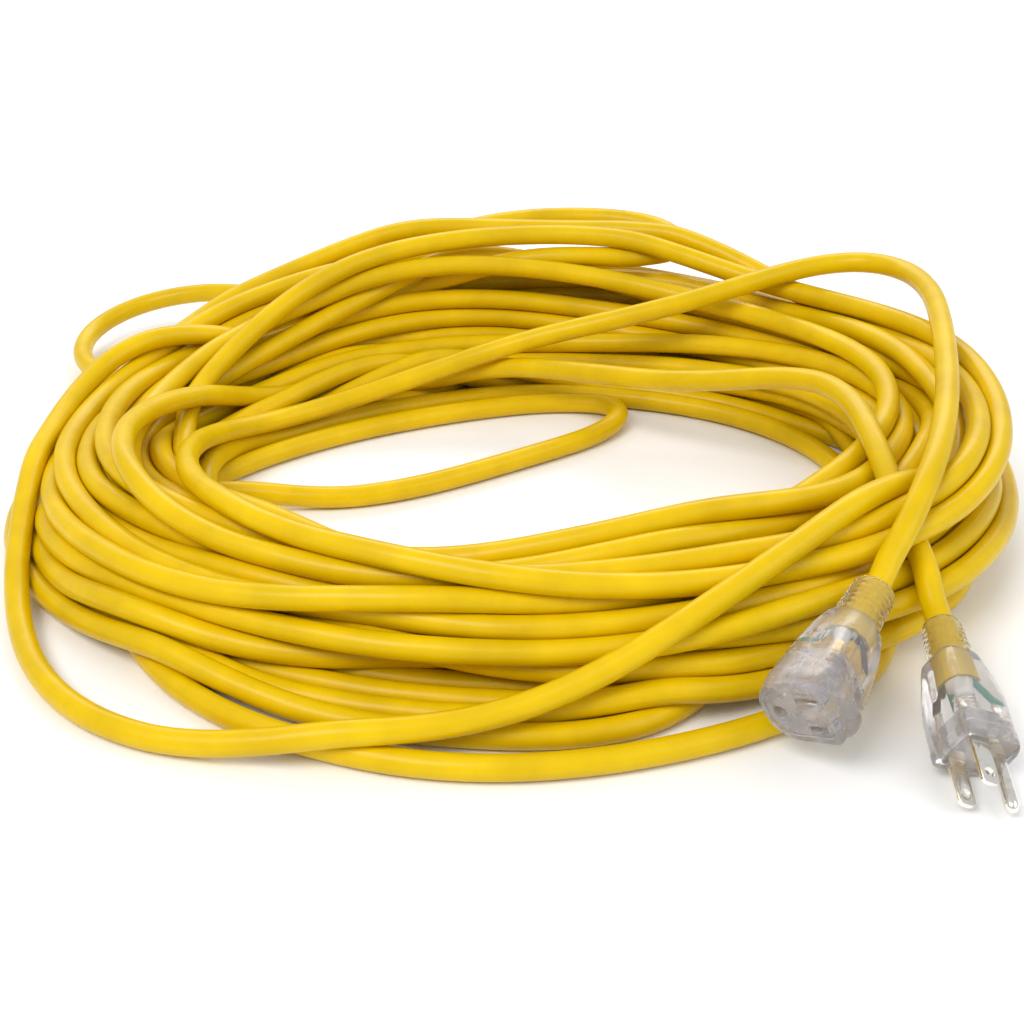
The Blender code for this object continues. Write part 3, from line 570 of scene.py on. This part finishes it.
def metal_material(name, bright, dull, low_rough, high_rough):
    """Plated or rolled metal: drawn grain, tarnish in patches."""
    n = Nodes(name)
    place = n.place()
    patches = n.noise(place, 260.0, 5.0, 0.6)
    colour = n.mixed(n.ramp(patches, (0.48, 0.0), (0.74, 1.0)), bright, dull)
    scratch = n.noise(n.stretched(place, (200.0, 2600.0, 2600.0)), 1.0, 3.0, 0.7)
    n.bumps((scratch, 0.10, 0.00004), (patches, 0.08, 0.00008))
    return n.surface(Base_Color=colour, Metallic=1.0, Roughness=n.spread(scratch, low_rough, high_rough))


def plastic_material(name, light, dark, rough):
    """Coloured plastic or insulation with slight mottling and a fine moulded surface."""
    n = Nodes(name)
    place = n.place()
    patches = n.noise(place, 300.0, 4.0)
    n.bumps((n.noise(place, 2100.0, 3.0), 0.15, 0.00005))
    return n.surface(Base_Color=n.mixed(patches, dark, light),
                     Roughness=n.spread(patches, rough - 0.08, rough + 0.08), IOR=1.5)


def resistor_material():
    """Tan lacquer with four generic colour bands, placed along the body."""
    n = Nodes("resistor_lacquer")
    distance = n.add("SeparateXYZ", Vector=n.along()).outputs[1]
    tan = (0.60, 0.43, 0.24)
    bands = n.ramp(distance, (0.0, tan), (0.20, (0.25, 0.07, 0.02)), (0.28, tan),
                   (0.36, (0.02, 0.02, 0.02)), (0.44, tan), (0.52, (0.75, 0.33, 0.02)), (0.60, tan),
                   (0.76, (0.70, 0.50, 0.15)), (0.84, tan), kind="CONSTANT")
    n.bumps((n.noise(n.place(), 2500.0, 2.0), 0.15, 0.00004))
    return n.surface(Base_Color=bands, Roughness=0.3)


def lamp_material():
    """Thin clear glass of the neon lamp, with a smoky band at its getter."""
    n = Nodes("lamp_glass_clear")
    smoke = n.ramp(n.noise(n.place(), 420.0, 3.0),
                   (0.42, (0.93, 0.90, 0.86)), (0.66, (0.62, 0.52, 0.46)))
    n.bumps((n.noise(n.place(), 900.0, 2.0), 0.10, 0.00005))
    return n.surface(Base_Color=smoke, Roughness=0.04, IOR=1.47, Transmission_Weight=0.92)


JACKET = jacket_material()
CLEAR = clear_material("clear_pvc_moulded", (0.965, 0.945, 0.955), 0.08, 0.20, 0.25, 0.86, 1.42)
SLEEVE = clear_material("clear_pvc_sleeve", (1.0, 0.985, 0.84), 0.12, 0.24, 0.10, 0.92, 1.22)
CARRIER = clear_material("carrier_hazy", (0.97, 0.94, 0.955), 0.20, 0.34, 0.12, 0.86, 1.28)
INSERT = clear_material("insert_milky", (0.98, 0.96, 0.97), 0.14, 0.26, 0.10, 0.90, 1.22)
NICKEL = metal_material("nickel_plate_worn", (0.97, 0.94, 0.87), (0.80, 0.70, 0.58), 0.10, 0.22)
BRASS = metal_material("brass_strip", (0.90, 0.68, 0.32), (0.55, 0.36, 0.16), 0.18, 0.36)
COPPER = metal_material("copper_strand", (0.92, 0.53, 0.33), (0.50, 0.25, 0.14), 0.20, 0.38)
TIN = metal_material("tinned_wire", (0.80, 0.78, 0.74), (0.55, 0.52, 0.48), 0.22, 0.38)
INK = plastic_material("insulation_black", (0.040, 0.038, 0.042), (0.016, 0.015, 0.018), 0.36)
MILK = plastic_material("insulation_white", (0.86, 0.85, 0.82), (0.72, 0.70, 0.66), 0.40)
GREEN = plastic_material("insulation_green", (0.02, 0.36, 0.24), (0.008, 0.22, 0.13), 0.36)
RESISTOR = resistor_material()
LAMP = lamp_material()


# ---- mesh helpers
ROOT = "root"


def finished(name, mesh, look, slot_name, replaced, sharp):
    """A piece with its shading and material. Given a slot name, it hides the replaced CAD nodes and rides
    with the root; the name itself is not kept. A cutter has no slot name.
    """
    mesh.shade_smooth()
    mesh.set_sharp_from_angle(angle=radians(sharp))
    mesh.materials.clear()
    mesh.materials.append(look)
    thing = add_object(name, mesh)
    if slot_name:
        if replaced:
            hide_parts(*replaced)
        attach(thing, ROOT)
    return thing


def piece(name, verts, faces, look, slot_name, replaced=(), uvs=None, place=None, sharp=35):
    """A named mesh piece in the frame, from its vertices, faces and UVs."""
    mesh = bpy.data.meshes.new(name)
    mesh.from_pydata(np.asarray(verts, float).tolist(), [], faces)
    if uvs is not None:
        mesh.uv_layers.new(name="UVMap").data.foreach_set("uv", np.asarray(uvs, float).ravel())
    if place is not None:
        mesh.transform(place)
    return finished(name, mesh, look, slot_name, replaced, sharp)


def ring_faces(rings, around):
    """The quads of an open tube of rings, and each corner's side and ring numbers."""
    i, j = np.meshgrid(np.arange(rings - 1), np.arange(around), indexing="ij")
    i, j = i.ravel(), j.ravel()
    k = (j + 1) % around
    quads = np.stack([i * around + j, i * around + k, (i + 1) * around + k, (i + 1) * around + j], -1)
    corners_side = np.stack([j, j + 1, j + 1, j], -1)
    corners_ring = np.stack([i, i, i + 1, i + 1], -1)
    return quads, corners_side, corners_ring


def tube_mesh(rings_of_points, lengths):
    """Vertices, faces and UVs of a capped tube. rings_of_points is rings x sides x 3."""
    rings, around = rings_of_points.shape[:2]
    quads, side, ring = ring_faces(rings, around)
    uvs = np.stack([side / around, np.asarray(lengths)[ring]], -1).reshape(-1, 2)
    first = list(range(around))[::-1]
    last = list(range((rings - 1) * around, rings * around))
    caps = [[0.5, lengths[0]]] * around + [[0.5, lengths[-1]]] * around
    return rings_of_points.reshape(-1, 3), quads.tolist() + [first, last], np.vstack([uvs, caps])


def carried_sides(points):
    """Two directions across a line that follow it without twisting."""
    tangent = np.gradient(points, axis=0)
    tangent /= np.linalg.norm(tangent, axis=1, keepdims=True)
    side = np.zeros_like(points)
    held = np.cross(tangent[0], (0.12, 0.3, 1.0))
    for i, direction in enumerate(tangent):
        held = held - direction * (held @ direction)
        held /= np.linalg.norm(held)
        side[i] = held
    return side, np.cross(tangent, side)


def swept(name, points, radius, sides, look, slot_name, replaced, place=None, unit=0.01):
    """A round tube along a line. Its UV runs round it, and along it in the given unit."""
    points = np.asarray(points, float)
    across, up = carried_sides(points)
    angle = np.arange(sides) * tau / sides
    radius = np.broadcast_to(np.asarray(radius, float), (len(points),))[:, None, None]
    rings = points[:, None] + radius * (np.cos(angle)[None, :, None] * across[:, None]
                                        + np.sin(angle)[None, :, None] * up[:, None])
    steps = np.linalg.norm(np.diff(points, axis=0), axis=1)
    lengths = np.concatenate([[0.0], np.cumsum(steps)]) / unit
    verts, faces, uvs = tube_mesh(rings, lengths)
    return piece(name, verts, faces, look, slot_name, replaced, uvs, place, sharp=60)


def lathe(name, profile, look, slot_name, replaced, place, centre=(0.0, 0.0), sides=28, sharp=35):
    """A turned solid along X from (x, radius) points, rear to front. UV runs round it and 0 to 1 along."""
    profile = np.array(profile, float)
    angle = np.arange(sides) * tau / sides
    x, radius = profile[:, :1], profile[:, 1:]
    rings = np.stack([np.broadcast_to(x, (len(profile), sides)), centre[0] + radius * np.cos(angle),
                      centre[1] + radius * np.sin(angle)], -1)
    span = (profile[:, 0] - profile[0, 0]) / (profile[-1, 0] - profile[0, 0])
    verts, faces, uvs = tube_mesh(rings, span)
    return piece(name, verts, faces, look, slot_name, replaced, uvs, place, sharp)


CORNER_POINTS = 10


def outline(low_y, high_y, half_z, low_radius, high_radius, count):
    """Evenly spaced points round a section whose corners at low Y and high Y have their own radii."""
    points = []
    for corner, sign in enumerate((1, 1, -1, -1)):
        at_high = corner in (0, 3)
        radius = high_radius if at_high else low_radius
        middle = high_y - radius if at_high else low_y + radius
        for k in range(CORNER_POINTS):
            angle = pi / 2 * (corner + k / (CORNER_POINTS - 1))
            points.append((middle + radius * cos(angle), sign * (half_z - radius) + radius * sin(angle)))
    seam = ((points[0][0] + points[-1][0]) / 2, 0.0)
    loop = np.array([seam, *points, seam])
    loop, _ = evenly(np.column_stack([loop, np.zeros(len(loop))]), count + 1)
    return loop[:-1, :2]


SHELL_SIDES = 96


def moulded(name, sections, detail, replaced, place, rims):
    """A clear shell through sections along X, with surface detail, and stepped rims at its face."""
    smooth = smooth_curve(np.array(sections), 8)
    rings = []
    for x, *shape in smooth:
        loop = outline(*shape, SHELL_SIDES)
        ahead, behind = np.roll(loop, -1, axis=0), np.roll(loop, 1, axis=0)
        run = ahead - behind
        outward = np.stack([run[:, 1], -run[:, 0]], -1)
        outward /= np.linalg.norm(outward, axis=1, keepdims=True)
        loop = loop + outward * detail(x, loop[:, 0], loop[:, 1])[:, None]
        rings.append(np.column_stack([np.full(SHELL_SIDES, x), loop]))
    face = rings[-1]
    middle = face.mean(0)
    for x, scale in rims:
        ring = middle + (face - middle) * scale
        ring[:, 0] = x
        rings.append(ring)
    rings = np.array(rings)
    verts, faces, uvs = tube_mesh(rings, rings[:, 0, 0] * 100)
    return piece(name, verts, faces, CLEAR, "clear_pvc", (replaced,), uvs, place, sharp=50)


def carve(thing, cutters):
    """Cut openings and keep the result as the piece's own mesh."""
    for cutter in cutters:
        modifier = thing.modifiers.new("cut", "BOOLEAN")
        modifier.operation = "DIFFERENCE"
        modifier.solver = "EXACT"
        modifier.object = cutter
    bpy.context.view_layer.update()
    cut = bpy.data.meshes.new_from_object(thing.evaluated_get(bpy.context.evaluated_depsgraph_get()))
    thing.modifiers.clear()
    thing.data = cut
    cut.shade_smooth()
    cut.set_sharp_from_angle(angle=radians(40))
    for cutter in cutters:
        bpy.data.objects.remove(cutter, do_unlink=True)


CUT_PAST = 0.002  # how far the cutters stand out of the end's face
RECESS_DEPTH = 0.0008
RECESS_GAP = 0.0002  # round the insert or the carrier


def cutter(name, loop, x0, x1, place):
    """A block to cut with, that has the same outline all along."""
    rings = np.array([np.column_stack([np.full(len(loop), x), loop]) for x in (x0, x1)])
    verts, faces, uvs = tube_mesh(rings, [0.0, 1.0])
    return piece(name, verts, faces, CLEAR, None, place=place)


def recess(name, face_x, shape, place):
    """A cutter with an end block's outline, grown by the gap all round."""
    low_y, high_y, *rest = shape
    loop = outline(low_y - RECESS_GAP, high_y + RECESS_GAP, *(size + RECESS_GAP for size in rest), 64)
    return cutter(name, loop, face_x - RECESS_DEPTH, face_x + CUT_PAST, place)


# ---- cord
CORD_SIDES = 15
cord = swept("cord", CENTRE_LINE, CORD_R, CORD_SIDES, JACKET, "jacket",
             ("cord_coil", "cord_left_front_loop", "cord_front_loop", "cord_inner_kink",
              "cord_back_left_loop", "cord_top_back_loop", "cord_plug_tail", "cord_connector_tail"),
             unit=tau * CORD_R)


# ---- strain reliefs
RELIEF_RINGS = 5
RELIEF_RING = ((0.0, 0.0), (0.10, 0.0003), (0.50, 0.00035), (0.60, 0.0), (0.68, -0.00045), (0.88, -0.00045))


def relief(name, length, rear_r, front_r, place, replaced):
    """A tapered sleeve moulded round the jacket, with shallow rings and a rolled lip at its mouth."""
    profile = [(0.0, CORD_R + 0.0002), (0.0001, rear_r - 0.0009), (0.0005, rear_r - 0.0003), (0.0011, rear_r),
               (0.0017, rear_r - 0.0001)]
    pitch = (length - 0.0050) / RELIEF_RINGS
    for k in range(RELIEF_RINGS):
        for share, lift in RELIEF_RING:
            x = 0.0024 + (k + share) * pitch
            profile.append((x, rear_r + (front_r - rear_r) * x / length + lift))
    profile += [(length - 0.0022, front_r), (length - 0.0006, front_r + 0.0001),
                (length - 0.0002, front_r - 0.0002), (length, front_r - 0.0007)]
    return lathe(name, profile, SLEEVE, "clear_pvc", (replaced,), place, sides=56, sharp=28)


relief("plug_relief", PLUG_RELIEF_END, 0.0064, 0.0076, PLUG, "plug_strain_relief")
conn_relief = relief("connector_relief", CONN_RELIEF_END, 0.0074, 0.0082, CONN, "connector_strain_relief")


# ---- shells
def ribs(amount, value):
    """Rounded ribs from a running value."""
    return amount * np.clip(np.sin(value), -0.15, 1.0)


def rising(value, start, width):
    """0 up to the start, then rising to 1 over the width."""
    return np.clip((value - start) / width, 0, 1)


def plug_detail(x, y, z):
    """Grooves along the flat side, a lip behind the face and faint finger ridges on the broad sides."""
    flat_side = rising(-y, 0.0078, 0.0012) * rising(x, 0.020, 0.004) * rising(-x, -0.0505, 0.002)
    grooves = -ribs(0.00030, z * tau / 0.0042 + 0.9) * flat_side
    lip = 0.00045 * rising(x, 0.0503, 0.0006)
    broad = rising(np.abs(z), 0.0070, 0.002) * (0.030 < x < 0.044)
    ridge = ribs(0.00012, np.full_like(y, x) * tau / 0.0026) * broad
    return grooves + lip + ridge


def connector_detail(x, y, z):
    """Slanted grip ribs on both narrow sides and a shallow thumb rest on each broad side."""
    narrow = rising(np.abs(y - 0.001), 0.0080, 0.0022)
    window = rising(x, 0.0270, 0.002) * rising(-x, -0.0485, 0.002)
    grip = ribs(0.00038, (x + 0.55 * z) * tau / 0.0024) * narrow * window
    broad = rising(np.abs(z), 0.0085, 0.002)
    rest = -0.00045 * broad * np.exp(-((x - 0.036) / 0.0062) ** 2 - ((y - 0.001) / 0.0065) ** 2)
    return grip + rest


# Sections along X: x, low Y, high Y, half the width along Z, corner radius at low Y and at high Y.
PLUG_SECTIONS = [
    (0.0163, -0.0070, 0.0076, 0.0074, 0.0038, 0.0066), (0.0172, -0.0080, 0.0088, 0.0084, 0.0038, 0.0074),
    (0.0200, -0.0086, 0.0100, 0.0090, 0.0036, 0.0080), (0.0280, -0.0096, 0.0124, 0.0102, 0.0032, 0.0092),
    (0.0370, -0.0103, 0.0136, 0.0112, 0.0030, 0.0100), (0.0460, -0.0105, 0.0136, 0.0115, 0.0030, 0.0104),
    (0.0520, -0.0104, 0.0133, 0.0114, 0.0030, 0.0102), (0.0537, -0.0103, 0.0131, 0.0113, 0.0030, 0.0100),
    (0.0543, -0.0100, 0.0128, 0.0110, 0.0028, 0.0098),
]
CONN_SECTIONS = [
    (0.0178, -0.0080, 0.0080, 0.0080, 0.0076, 0.0076), (0.0186, -0.0092, 0.0092, 0.0091, 0.0080, 0.0084),
    (0.0210, -0.0104, 0.0106, 0.0100, 0.0080, 0.0090), (0.0270, -0.0116, 0.0122, 0.0112, 0.0070, 0.0100),
    (0.0360, -0.0122, 0.0134, 0.0122, 0.0056, 0.0108), (0.0455, -0.0126, 0.0144, 0.0129, 0.0050, 0.0112),
    (0.0485, -0.0132, 0.0149, 0.0131, 0.0052, 0.0114), (0.0505, -0.0148, 0.0153, 0.0133, 0.0058, 0.0117),
    (0.0525, -0.0153, 0.0156, 0.0134, 0.0062, 0.0118), (0.0545, -0.0151, 0.0155, 0.0134, 0.0060, 0.0118),
    (0.0557, -0.0142, 0.0153, 0.0133, 0.0052, 0.0116), (0.0564, -0.0124, 0.0150, 0.0132, 0.0042, 0.0114),
    (0.0576, -0.0120, 0.0149, 0.0131, 0.0038, 0.0113), (0.0592, -0.0118, 0.0147, 0.0130, 0.0036, 0.0112),
    (0.0598, -0.0115, 0.0144, 0.0127, 0.0034, 0.0109),
]
RIM = 0.0002  # how far the rolled rim stands out of the face
plug_shell = moulded("plug_shell", PLUG_SECTIONS, plug_detail, "plug_body", PLUG,
                     ((PLUG_FACE_X + RIM, 0.955), (PLUG_FACE_X + RIM, 0.90), (PLUG_FACE_X, 0.885)))
conn_shell = moulded("connector_shell", CONN_SECTIONS, connector_detail, "connector_body", CONN,
                     ((CONN_FACE_X + RIM, 0.965), (CONN_FACE_X + RIM, 0.90), (CONN_FACE_X, 0.88)))

SLOT_BACK = 0.0462
BEVEL_BACK = CONN_FACE_X - 0.0005
# Each opening's middle in Y and Z, half its sizes, its corners' radius, and the bevel's growth and radius.
OPENINGS = (
    (BLADE_Y, BLADE_Z, 0.0069 / 2, 0.0011, 0.0003, 0.0004, 0.0005),
    (BLADE_Y, -BLADE_Z, 0.0083 / 2, 0.0011, 0.0003, 0.0004, 0.0005),
    (GROUND_Y, 0.0, 0.0027, 0.0027, 0.00265, 0.0005, 0.0031),
)
cutters = []
for y, z, half_y, half_z, radius, growth, bevel_radius in OPENINGS:
    for back, grow, corner in ((SLOT_BACK, 0.0, radius), (BEVEL_BACK, growth, bevel_radius)):
        loop = outline(-half_y - grow, half_y + grow, half_z + grow, corner, corner, 28) + (y, z)
        cutters.append(cutter("opening_cut", loop, back, CONN_FACE_X + CUT_PAST, CONN))
cutters.append(recess("carrier_recess", CONN_FACE_X, (-0.0098, 0.0122, 0.0100, 0.0034, 0.0078), CONN))
carve(conn_shell, cutters)
carve(plug_shell, [recess("insert_recess", PLUG_FACE_X, (-0.0086, 0.0112, 0.0086, 0.0020, 0.0020), PLUG)])


# ---- blades and pin
def flat_plate(name, loops, thick, round_edge, z, replaced):
    """A stamped plate in the plug's XY plane with rounded edges, from its outline and its holes."""
    data = bpy.data.curves.new(name, "CURVE")
    data.dimensions = "2D"
    data.fill_mode = "BOTH"
    data.extrude = thick / 2 - round_edge
    data.bevel_depth = round_edge
    data.bevel_resolution = 2
    for loop in loops:
        spline = data.splines.new("POLY")
        spline.points.add(len(loop) - 1)
        for point, (x, y) in zip(spline.points, loop):
            point.co = (x, y, 0.0, 1.0)
        spline.use_cyclic_u = True
    curve = add_object(name + "_outline", data)
    bpy.context.view_layer.update()
    mesh = bpy.data.meshes.new_from_object(curve.evaluated_get(bpy.context.evaluated_depsgraph_get()))
    bpy.data.objects.remove(curve, do_unlink=True)
    mesh.transform(Matrix.Translation((0.0, 0.0, z)))
    mesh.transform(PLUG)
    bm = bmesh.new()
    bm.from_mesh(mesh)
    bmesh.ops.remove_doubles(bm, verts=bm.verts, dist=0.00001)
    bmesh.ops.recalc_face_normals(bm, faces=bm.faces)
    bm.to_mesh(mesh)
    bm.free()
    finished(name, mesh, NICKEL, "blades", (replaced,), 40)


BLADE_EDGE = 0.00022  # the edges' radius
BLADE_NECK = 0.0011  # how much narrower each side is inside the plug
BLADE_CLIP = 0.0013  # off each corner of the tip
HOLE_FROM_TIP = 0.0045


def blade(name, z, replaced):
    """A folded-strip blade with clipped tip corners and its hole."""
    start, tip = PLUG_CRIMP_X + CRIMP_LENGTH * 0.6, BLADE_TIP_X - BLADE_EDGE
    half = BLADE_WIDTH / 2 - BLADE_EDGE
    side = [(start, half - BLADE_NECK), (start + 0.0022, half - BLADE_NECK), (start + 0.0030, half),
            (tip - BLADE_CLIP, half), (tip - 0.0003, half - BLADE_CLIP * 0.8), (tip, half - BLADE_CLIP * 1.2)]
    outer = [(x, BLADE_Y - y) for x, y in side] + [(x, BLADE_Y + y) for x, y in reversed(side)]
    hole_x, hole_r = BLADE_TIP_X - HOLE_FROM_TIP, BLADE_HOLE_R + BLADE_EDGE
    hole = [(hole_x + hole_r * cos(a), BLADE_Y + hole_r * sin(a))
            for a in np.linspace(0, tau, 32, endpoint=False)]
    flat_plate(name, (outer, hole), BLADE_THICK, BLADE_EDGE, z, replaced)


blade("line_blade", -BLADE_Z, "plug_line_blade")
blade("neutral_blade", BLADE_Z, "plug_neutral_blade")

PIN_TIP = 0.0034  # length of the pin's rounded tip
crimp = [(0.0, CRIMP_R - 0.0002), (0.0002, CRIMP_R), (0.0020, CRIMP_R), (0.0026, CRIMP_R - 0.0003),
         (0.0034, CRIMP_R - 0.0003), (0.0040, CRIMP_R), (CRIMP_LENGTH, CRIMP_R),
         (CRIMP_LENGTH + 0.0006, PIN_R)]
pin = [(PLUG_CRIMP_X + x, radius) for x, radius in crimp] + [(PLUG_FACE_X - 0.0004, PIN_R)]
pin += [(PIN_TIP_X - PIN_TIP + PIN_TIP * sin(a), PIN_R * cos(a) ** 0.8 + 0.00002)
        for a in np.linspace(0, pi / 2 * 0.97, 10)]
lathe("ground_pin", pin, NICKEL, "blades", ("plug_ground_pin",), PLUG, centre=(GROUND_Y, 0.0), sides=40)

CRIMP_BANDS = 3


def barrel(name, z):
    """A flat blade's crimped barrel, which grips its conductor: pressed bands between rolled ends."""
    x, end = PLUG_CRIMP_X, PLUG_CRIMP_X + CRIMP_LENGTH
    profile = [(x, CRIMP_R - 0.0003), (x + 0.0002, CRIMP_R), (x + 0.0008, CRIMP_R)]
    pitch = (CRIMP_LENGTH - 0.0016) / CRIMP_BANDS
    for k in range(CRIMP_BANDS):
        for share, depth in ((0.0, 0.0), (0.25, 0.00028), (0.65, 0.00028), (0.9, 0.0)):
            profile.append((x + 0.0010 + (k + share) * pitch, CRIMP_R - depth))
    profile += [(end - 0.0002, CRIMP_R), (end, CRIMP_R - 0.0003)]
    lathe(name, profile, NICKEL, "blades", (), PLUG, centre=(BLADE_Y, z))


barrel("plug_line_crimp", -WIRE_Z)
barrel("plug_neutral_crimp", WIRE_Z)


# ---- conductors
WIRE_GAP = 0.0007  # between the insulation's end and the crimp
STRANDS = 7  # one in the middle, the others round it
STRAND_R = 0.00030
STRAND_LAY_R = 0.00062
STRAND_TWIST = 2.2  # radians along the bare end


def wire_line(start_x, end, angle):
    """The smooth path of one conductor from the jacket's end to its crimp."""
    start = np.array((start_x + 0.0004, WIRE_LAY_R * cos(angle), WIRE_LAY_R * sin(angle)))
    end = np.array(end)
    straight = ((end[0] - start[0]) * 0.12, 0, 0)
    line, _ = evenly(smooth_curve(np.array([start, start + straight, end - straight, end])), 28)
    return line


def conductor(name, line, look, slot_name, place, replaced):
    """Insulation with slightly narrowed ends, and the bare twisted strands that leave it."""
    radius = np.full(len(line), WIRE_R)
    radius[0] = radius[-1] = WIRE_R - 0.00018
    swept(name, line, radius, 20, look, slot_name, (replaced,), place)
    t = np.linspace(0, 1, 14)
    for k in range(STRANDS):
        turn = k * tau / (STRANDS - 1) + STRAND_TWIST * t
        reach = STRAND_LAY_R if k < STRANDS - 1 else 0.0
        path = line[-1] + np.stack([t * 0.0026 - 0.0006, reach * np.cos(turn), reach * np.sin(turn)], -1)
        swept(f"{name}_strand_{k}", path, STRAND_R, 8, COPPER, slot_name, (), place)


for prefix, place, jacket_x, crimp_x, side in (("plug", PLUG, PLUG_JACKET_X, PLUG_CRIMP_X, 1),
                                               ("connector", CONN, CONN_JACKET_X, CONN_CRIMP_X, -1)):
    for key, y, z, angle, look in (("line", BLADE_Y, -side * WIRE_Z, -120 * side, (INK, "wire_black")),
                                   ("neutral", BLADE_Y, side * WIRE_Z, 120 * side, (MILK, "wire_white")),
                                   ("ground", GROUND_Y, 0.0, 0, (GREEN, "wire_green"))):
        line = wire_line(jacket_x, (crimp_x - WIRE_GAP, y, z), radians(angle))
        conductor(f"{prefix}_{key}_core", line, *look, place, f"{prefix}_{key}_wire")

# ---- lamp and resistor
LAMP_X = 0.0280
LAMP_END = LAMP_X + 0.0068
LAMP_AXIS = (0.0014, -0.0058)  # the lamp's Y and Z
LAMP_R = 0.0014
LAMP_TIP_R = 0.0003
RES_X = 0.0284
RES_END = RES_X + 0.0056
RES_AXIS = (0.0052, -0.0052)
RES_R = 0.0012

glass = [(LAMP_X, LAMP_TIP_R)]
glass += [(LAMP_X + 0.0016 * (1 - cos(a)), LAMP_TIP_R + (LAMP_R - LAMP_TIP_R) * sin(a))
          for a in np.linspace(0.2, pi / 2, 7)]
glass += [(LAMP_END - 0.0010, LAMP_R), (LAMP_END - 0.0004, LAMP_R * 0.92), (LAMP_END, LAMP_R * 0.66)]
lathe("neon_lamp", glass, LAMP, "lamp", ("indicator_lamp",), CONN, centre=LAMP_AXIS, sides=32)
for k, side in enumerate((-1, 1)):
    y = LAMP_AXIS[0] + side * 0.00045
    rod = [(x, y, LAMP_AXIS[1]) for x in (LAMP_X + 0.0020, LAMP_X + 0.0042, LAMP_END - 0.0004)]
    line, _ = evenly(np.array(rod), 8)
    swept(f"lamp_electrode_{k}", line, 0.00026, 10, TIN, "leads", (), CONN)

cap = ((0.0, 0.4), (0.0002, 0.8), (0.0006, 1.0), (0.0014, 1.0), (0.0019, 0.84))
body = [(RES_X + x, RES_R * share) for x, share in cap]
body += [(RES_END - x, RES_R * share) for x, share in reversed(cap)]
lathe("resistor", body, RESISTOR, "resistor", ("indicator_resistor",), CONN, centre=RES_AXIS)
lead = np.array([(LAMP_END, *LAMP_AXIS), (LAMP_END + 0.0014, *LAMP_AXIS),
                 (LAMP_END + 0.0017, (LAMP_AXIS[0] + RES_AXIS[0]) / 2, LAMP_AXIS[1] - 0.0004),
                 (LAMP_END + 0.0014, *RES_AXIS), (RES_END, *RES_AXIS)])
line, _ = evenly(smooth_curve(lead, 8), 30)
swept("link_lead", line, 0.0003, 10, TIN, "leads", ("indicator_link_lead",), CONN)

# ---- CAD nodes that stay, with their materials
for node, look in (("plug_insert", INSERT), ("connector_contact_carrier", CARRIER),
                   ("connector_line_contact", BRASS), ("connector_neutral_contact", BRASS),
                   ("connector_ground_contact", BRASS)):
    for material_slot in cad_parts[node].material_slots:
        material_slot.material = look

# ---- the parts at the cord's connector end, gathered in a list
on_the_cord = [conn_shell, conn_relief, "connector_contact_carrier", "connector_line_contact",
               "connector_neutral_contact", "connector_ground_contact", "connector_line_core",
               "connector_neutral_core", "connector_ground_core", "neon_lamp", "resistor", "link_lead"]
on_the_cord = [bpy.data.objects[p] if isinstance(p, str) and p in bpy.data.objects else p
               for p in on_the_cord]

# ---- floor and light
FLOOR_RADIUS = 9.0
FLOOR_DROP = 0.0001  # the floor lies this far below the frame's

floor_look = Nodes("floor_pale")
floor_place = floor_look.place()
floor_tone = floor_look.ramp(floor_look.noise(floor_place, 2.2, 4.0), (0.3, 0.90), (0.7, 0.93))
floor_look.bumps((floor_look.noise(floor_place, 420.0, 4.0), 0.03, 0.0002))
floor_look.surface(Base_Color=floor_tone, Roughness=0.62)
bm = bmesh.new()
bmesh.ops.create_circle(bm, cap_ends=True, radius=FLOOR_RADIUS, segments=96)
floor_mesh = bpy.data.meshes.new("floor")
bm.to_mesh(floor_mesh)
bm.free()
floor_mesh.materials.append(floor_look.material)
floor = add_object("floor", floor_mesh)
floor.location = (0.0, 0.0, -FLOOR_DROP)

world = bpy.data.worlds.new("studio")
world.use_nodes = True
background = world.node_tree.nodes["Background"]
background.inputs["Color"].default_value = (0.97, 0.985, 1.0, 1.0)
background.inputs["Strength"].default_value = 0.60
bpy.context.scene.world = world


def lamp_at(name, place, aim, size, power, colour):
    """A rectangular area light, with its power in watts."""
    data = bpy.data.lights.new(name, "AREA")
    data.shape = "RECTANGLE"
    data.size, data.size_y = size
    data.energy = power
    data.color = colour
    light = add_object(name, data)
    light.location = place
    light.rotation_euler = (Vector(place) - Vector(aim)).to_track_quat("Z", "Y").to_euler()


lamp_at("key", (-0.55, -0.75, 1.15), (0.0, 0.0, 0.0), (0.8, 0.6), 12.5, (1.0, 0.98, 0.95))
lamp_at("fill", (0.95, -0.55, 0.80), (0.0, 0.0, 0.0), (0.9, 0.9), 4.5, (0.95, 0.97, 1.0))
lamp_at("back", (0.1, 1.05, 0.95), (0.0, 0.0, 0.05), (1.2, 0.4), 4.5, (1.0, 1.0, 1.0))
lamp_at("backdrop", (0.0, 1.9, 1.3), (0.0, 1.5, 0.0), (3.0, 1.0), 16.0, (1.0, 1.0, 1.0))
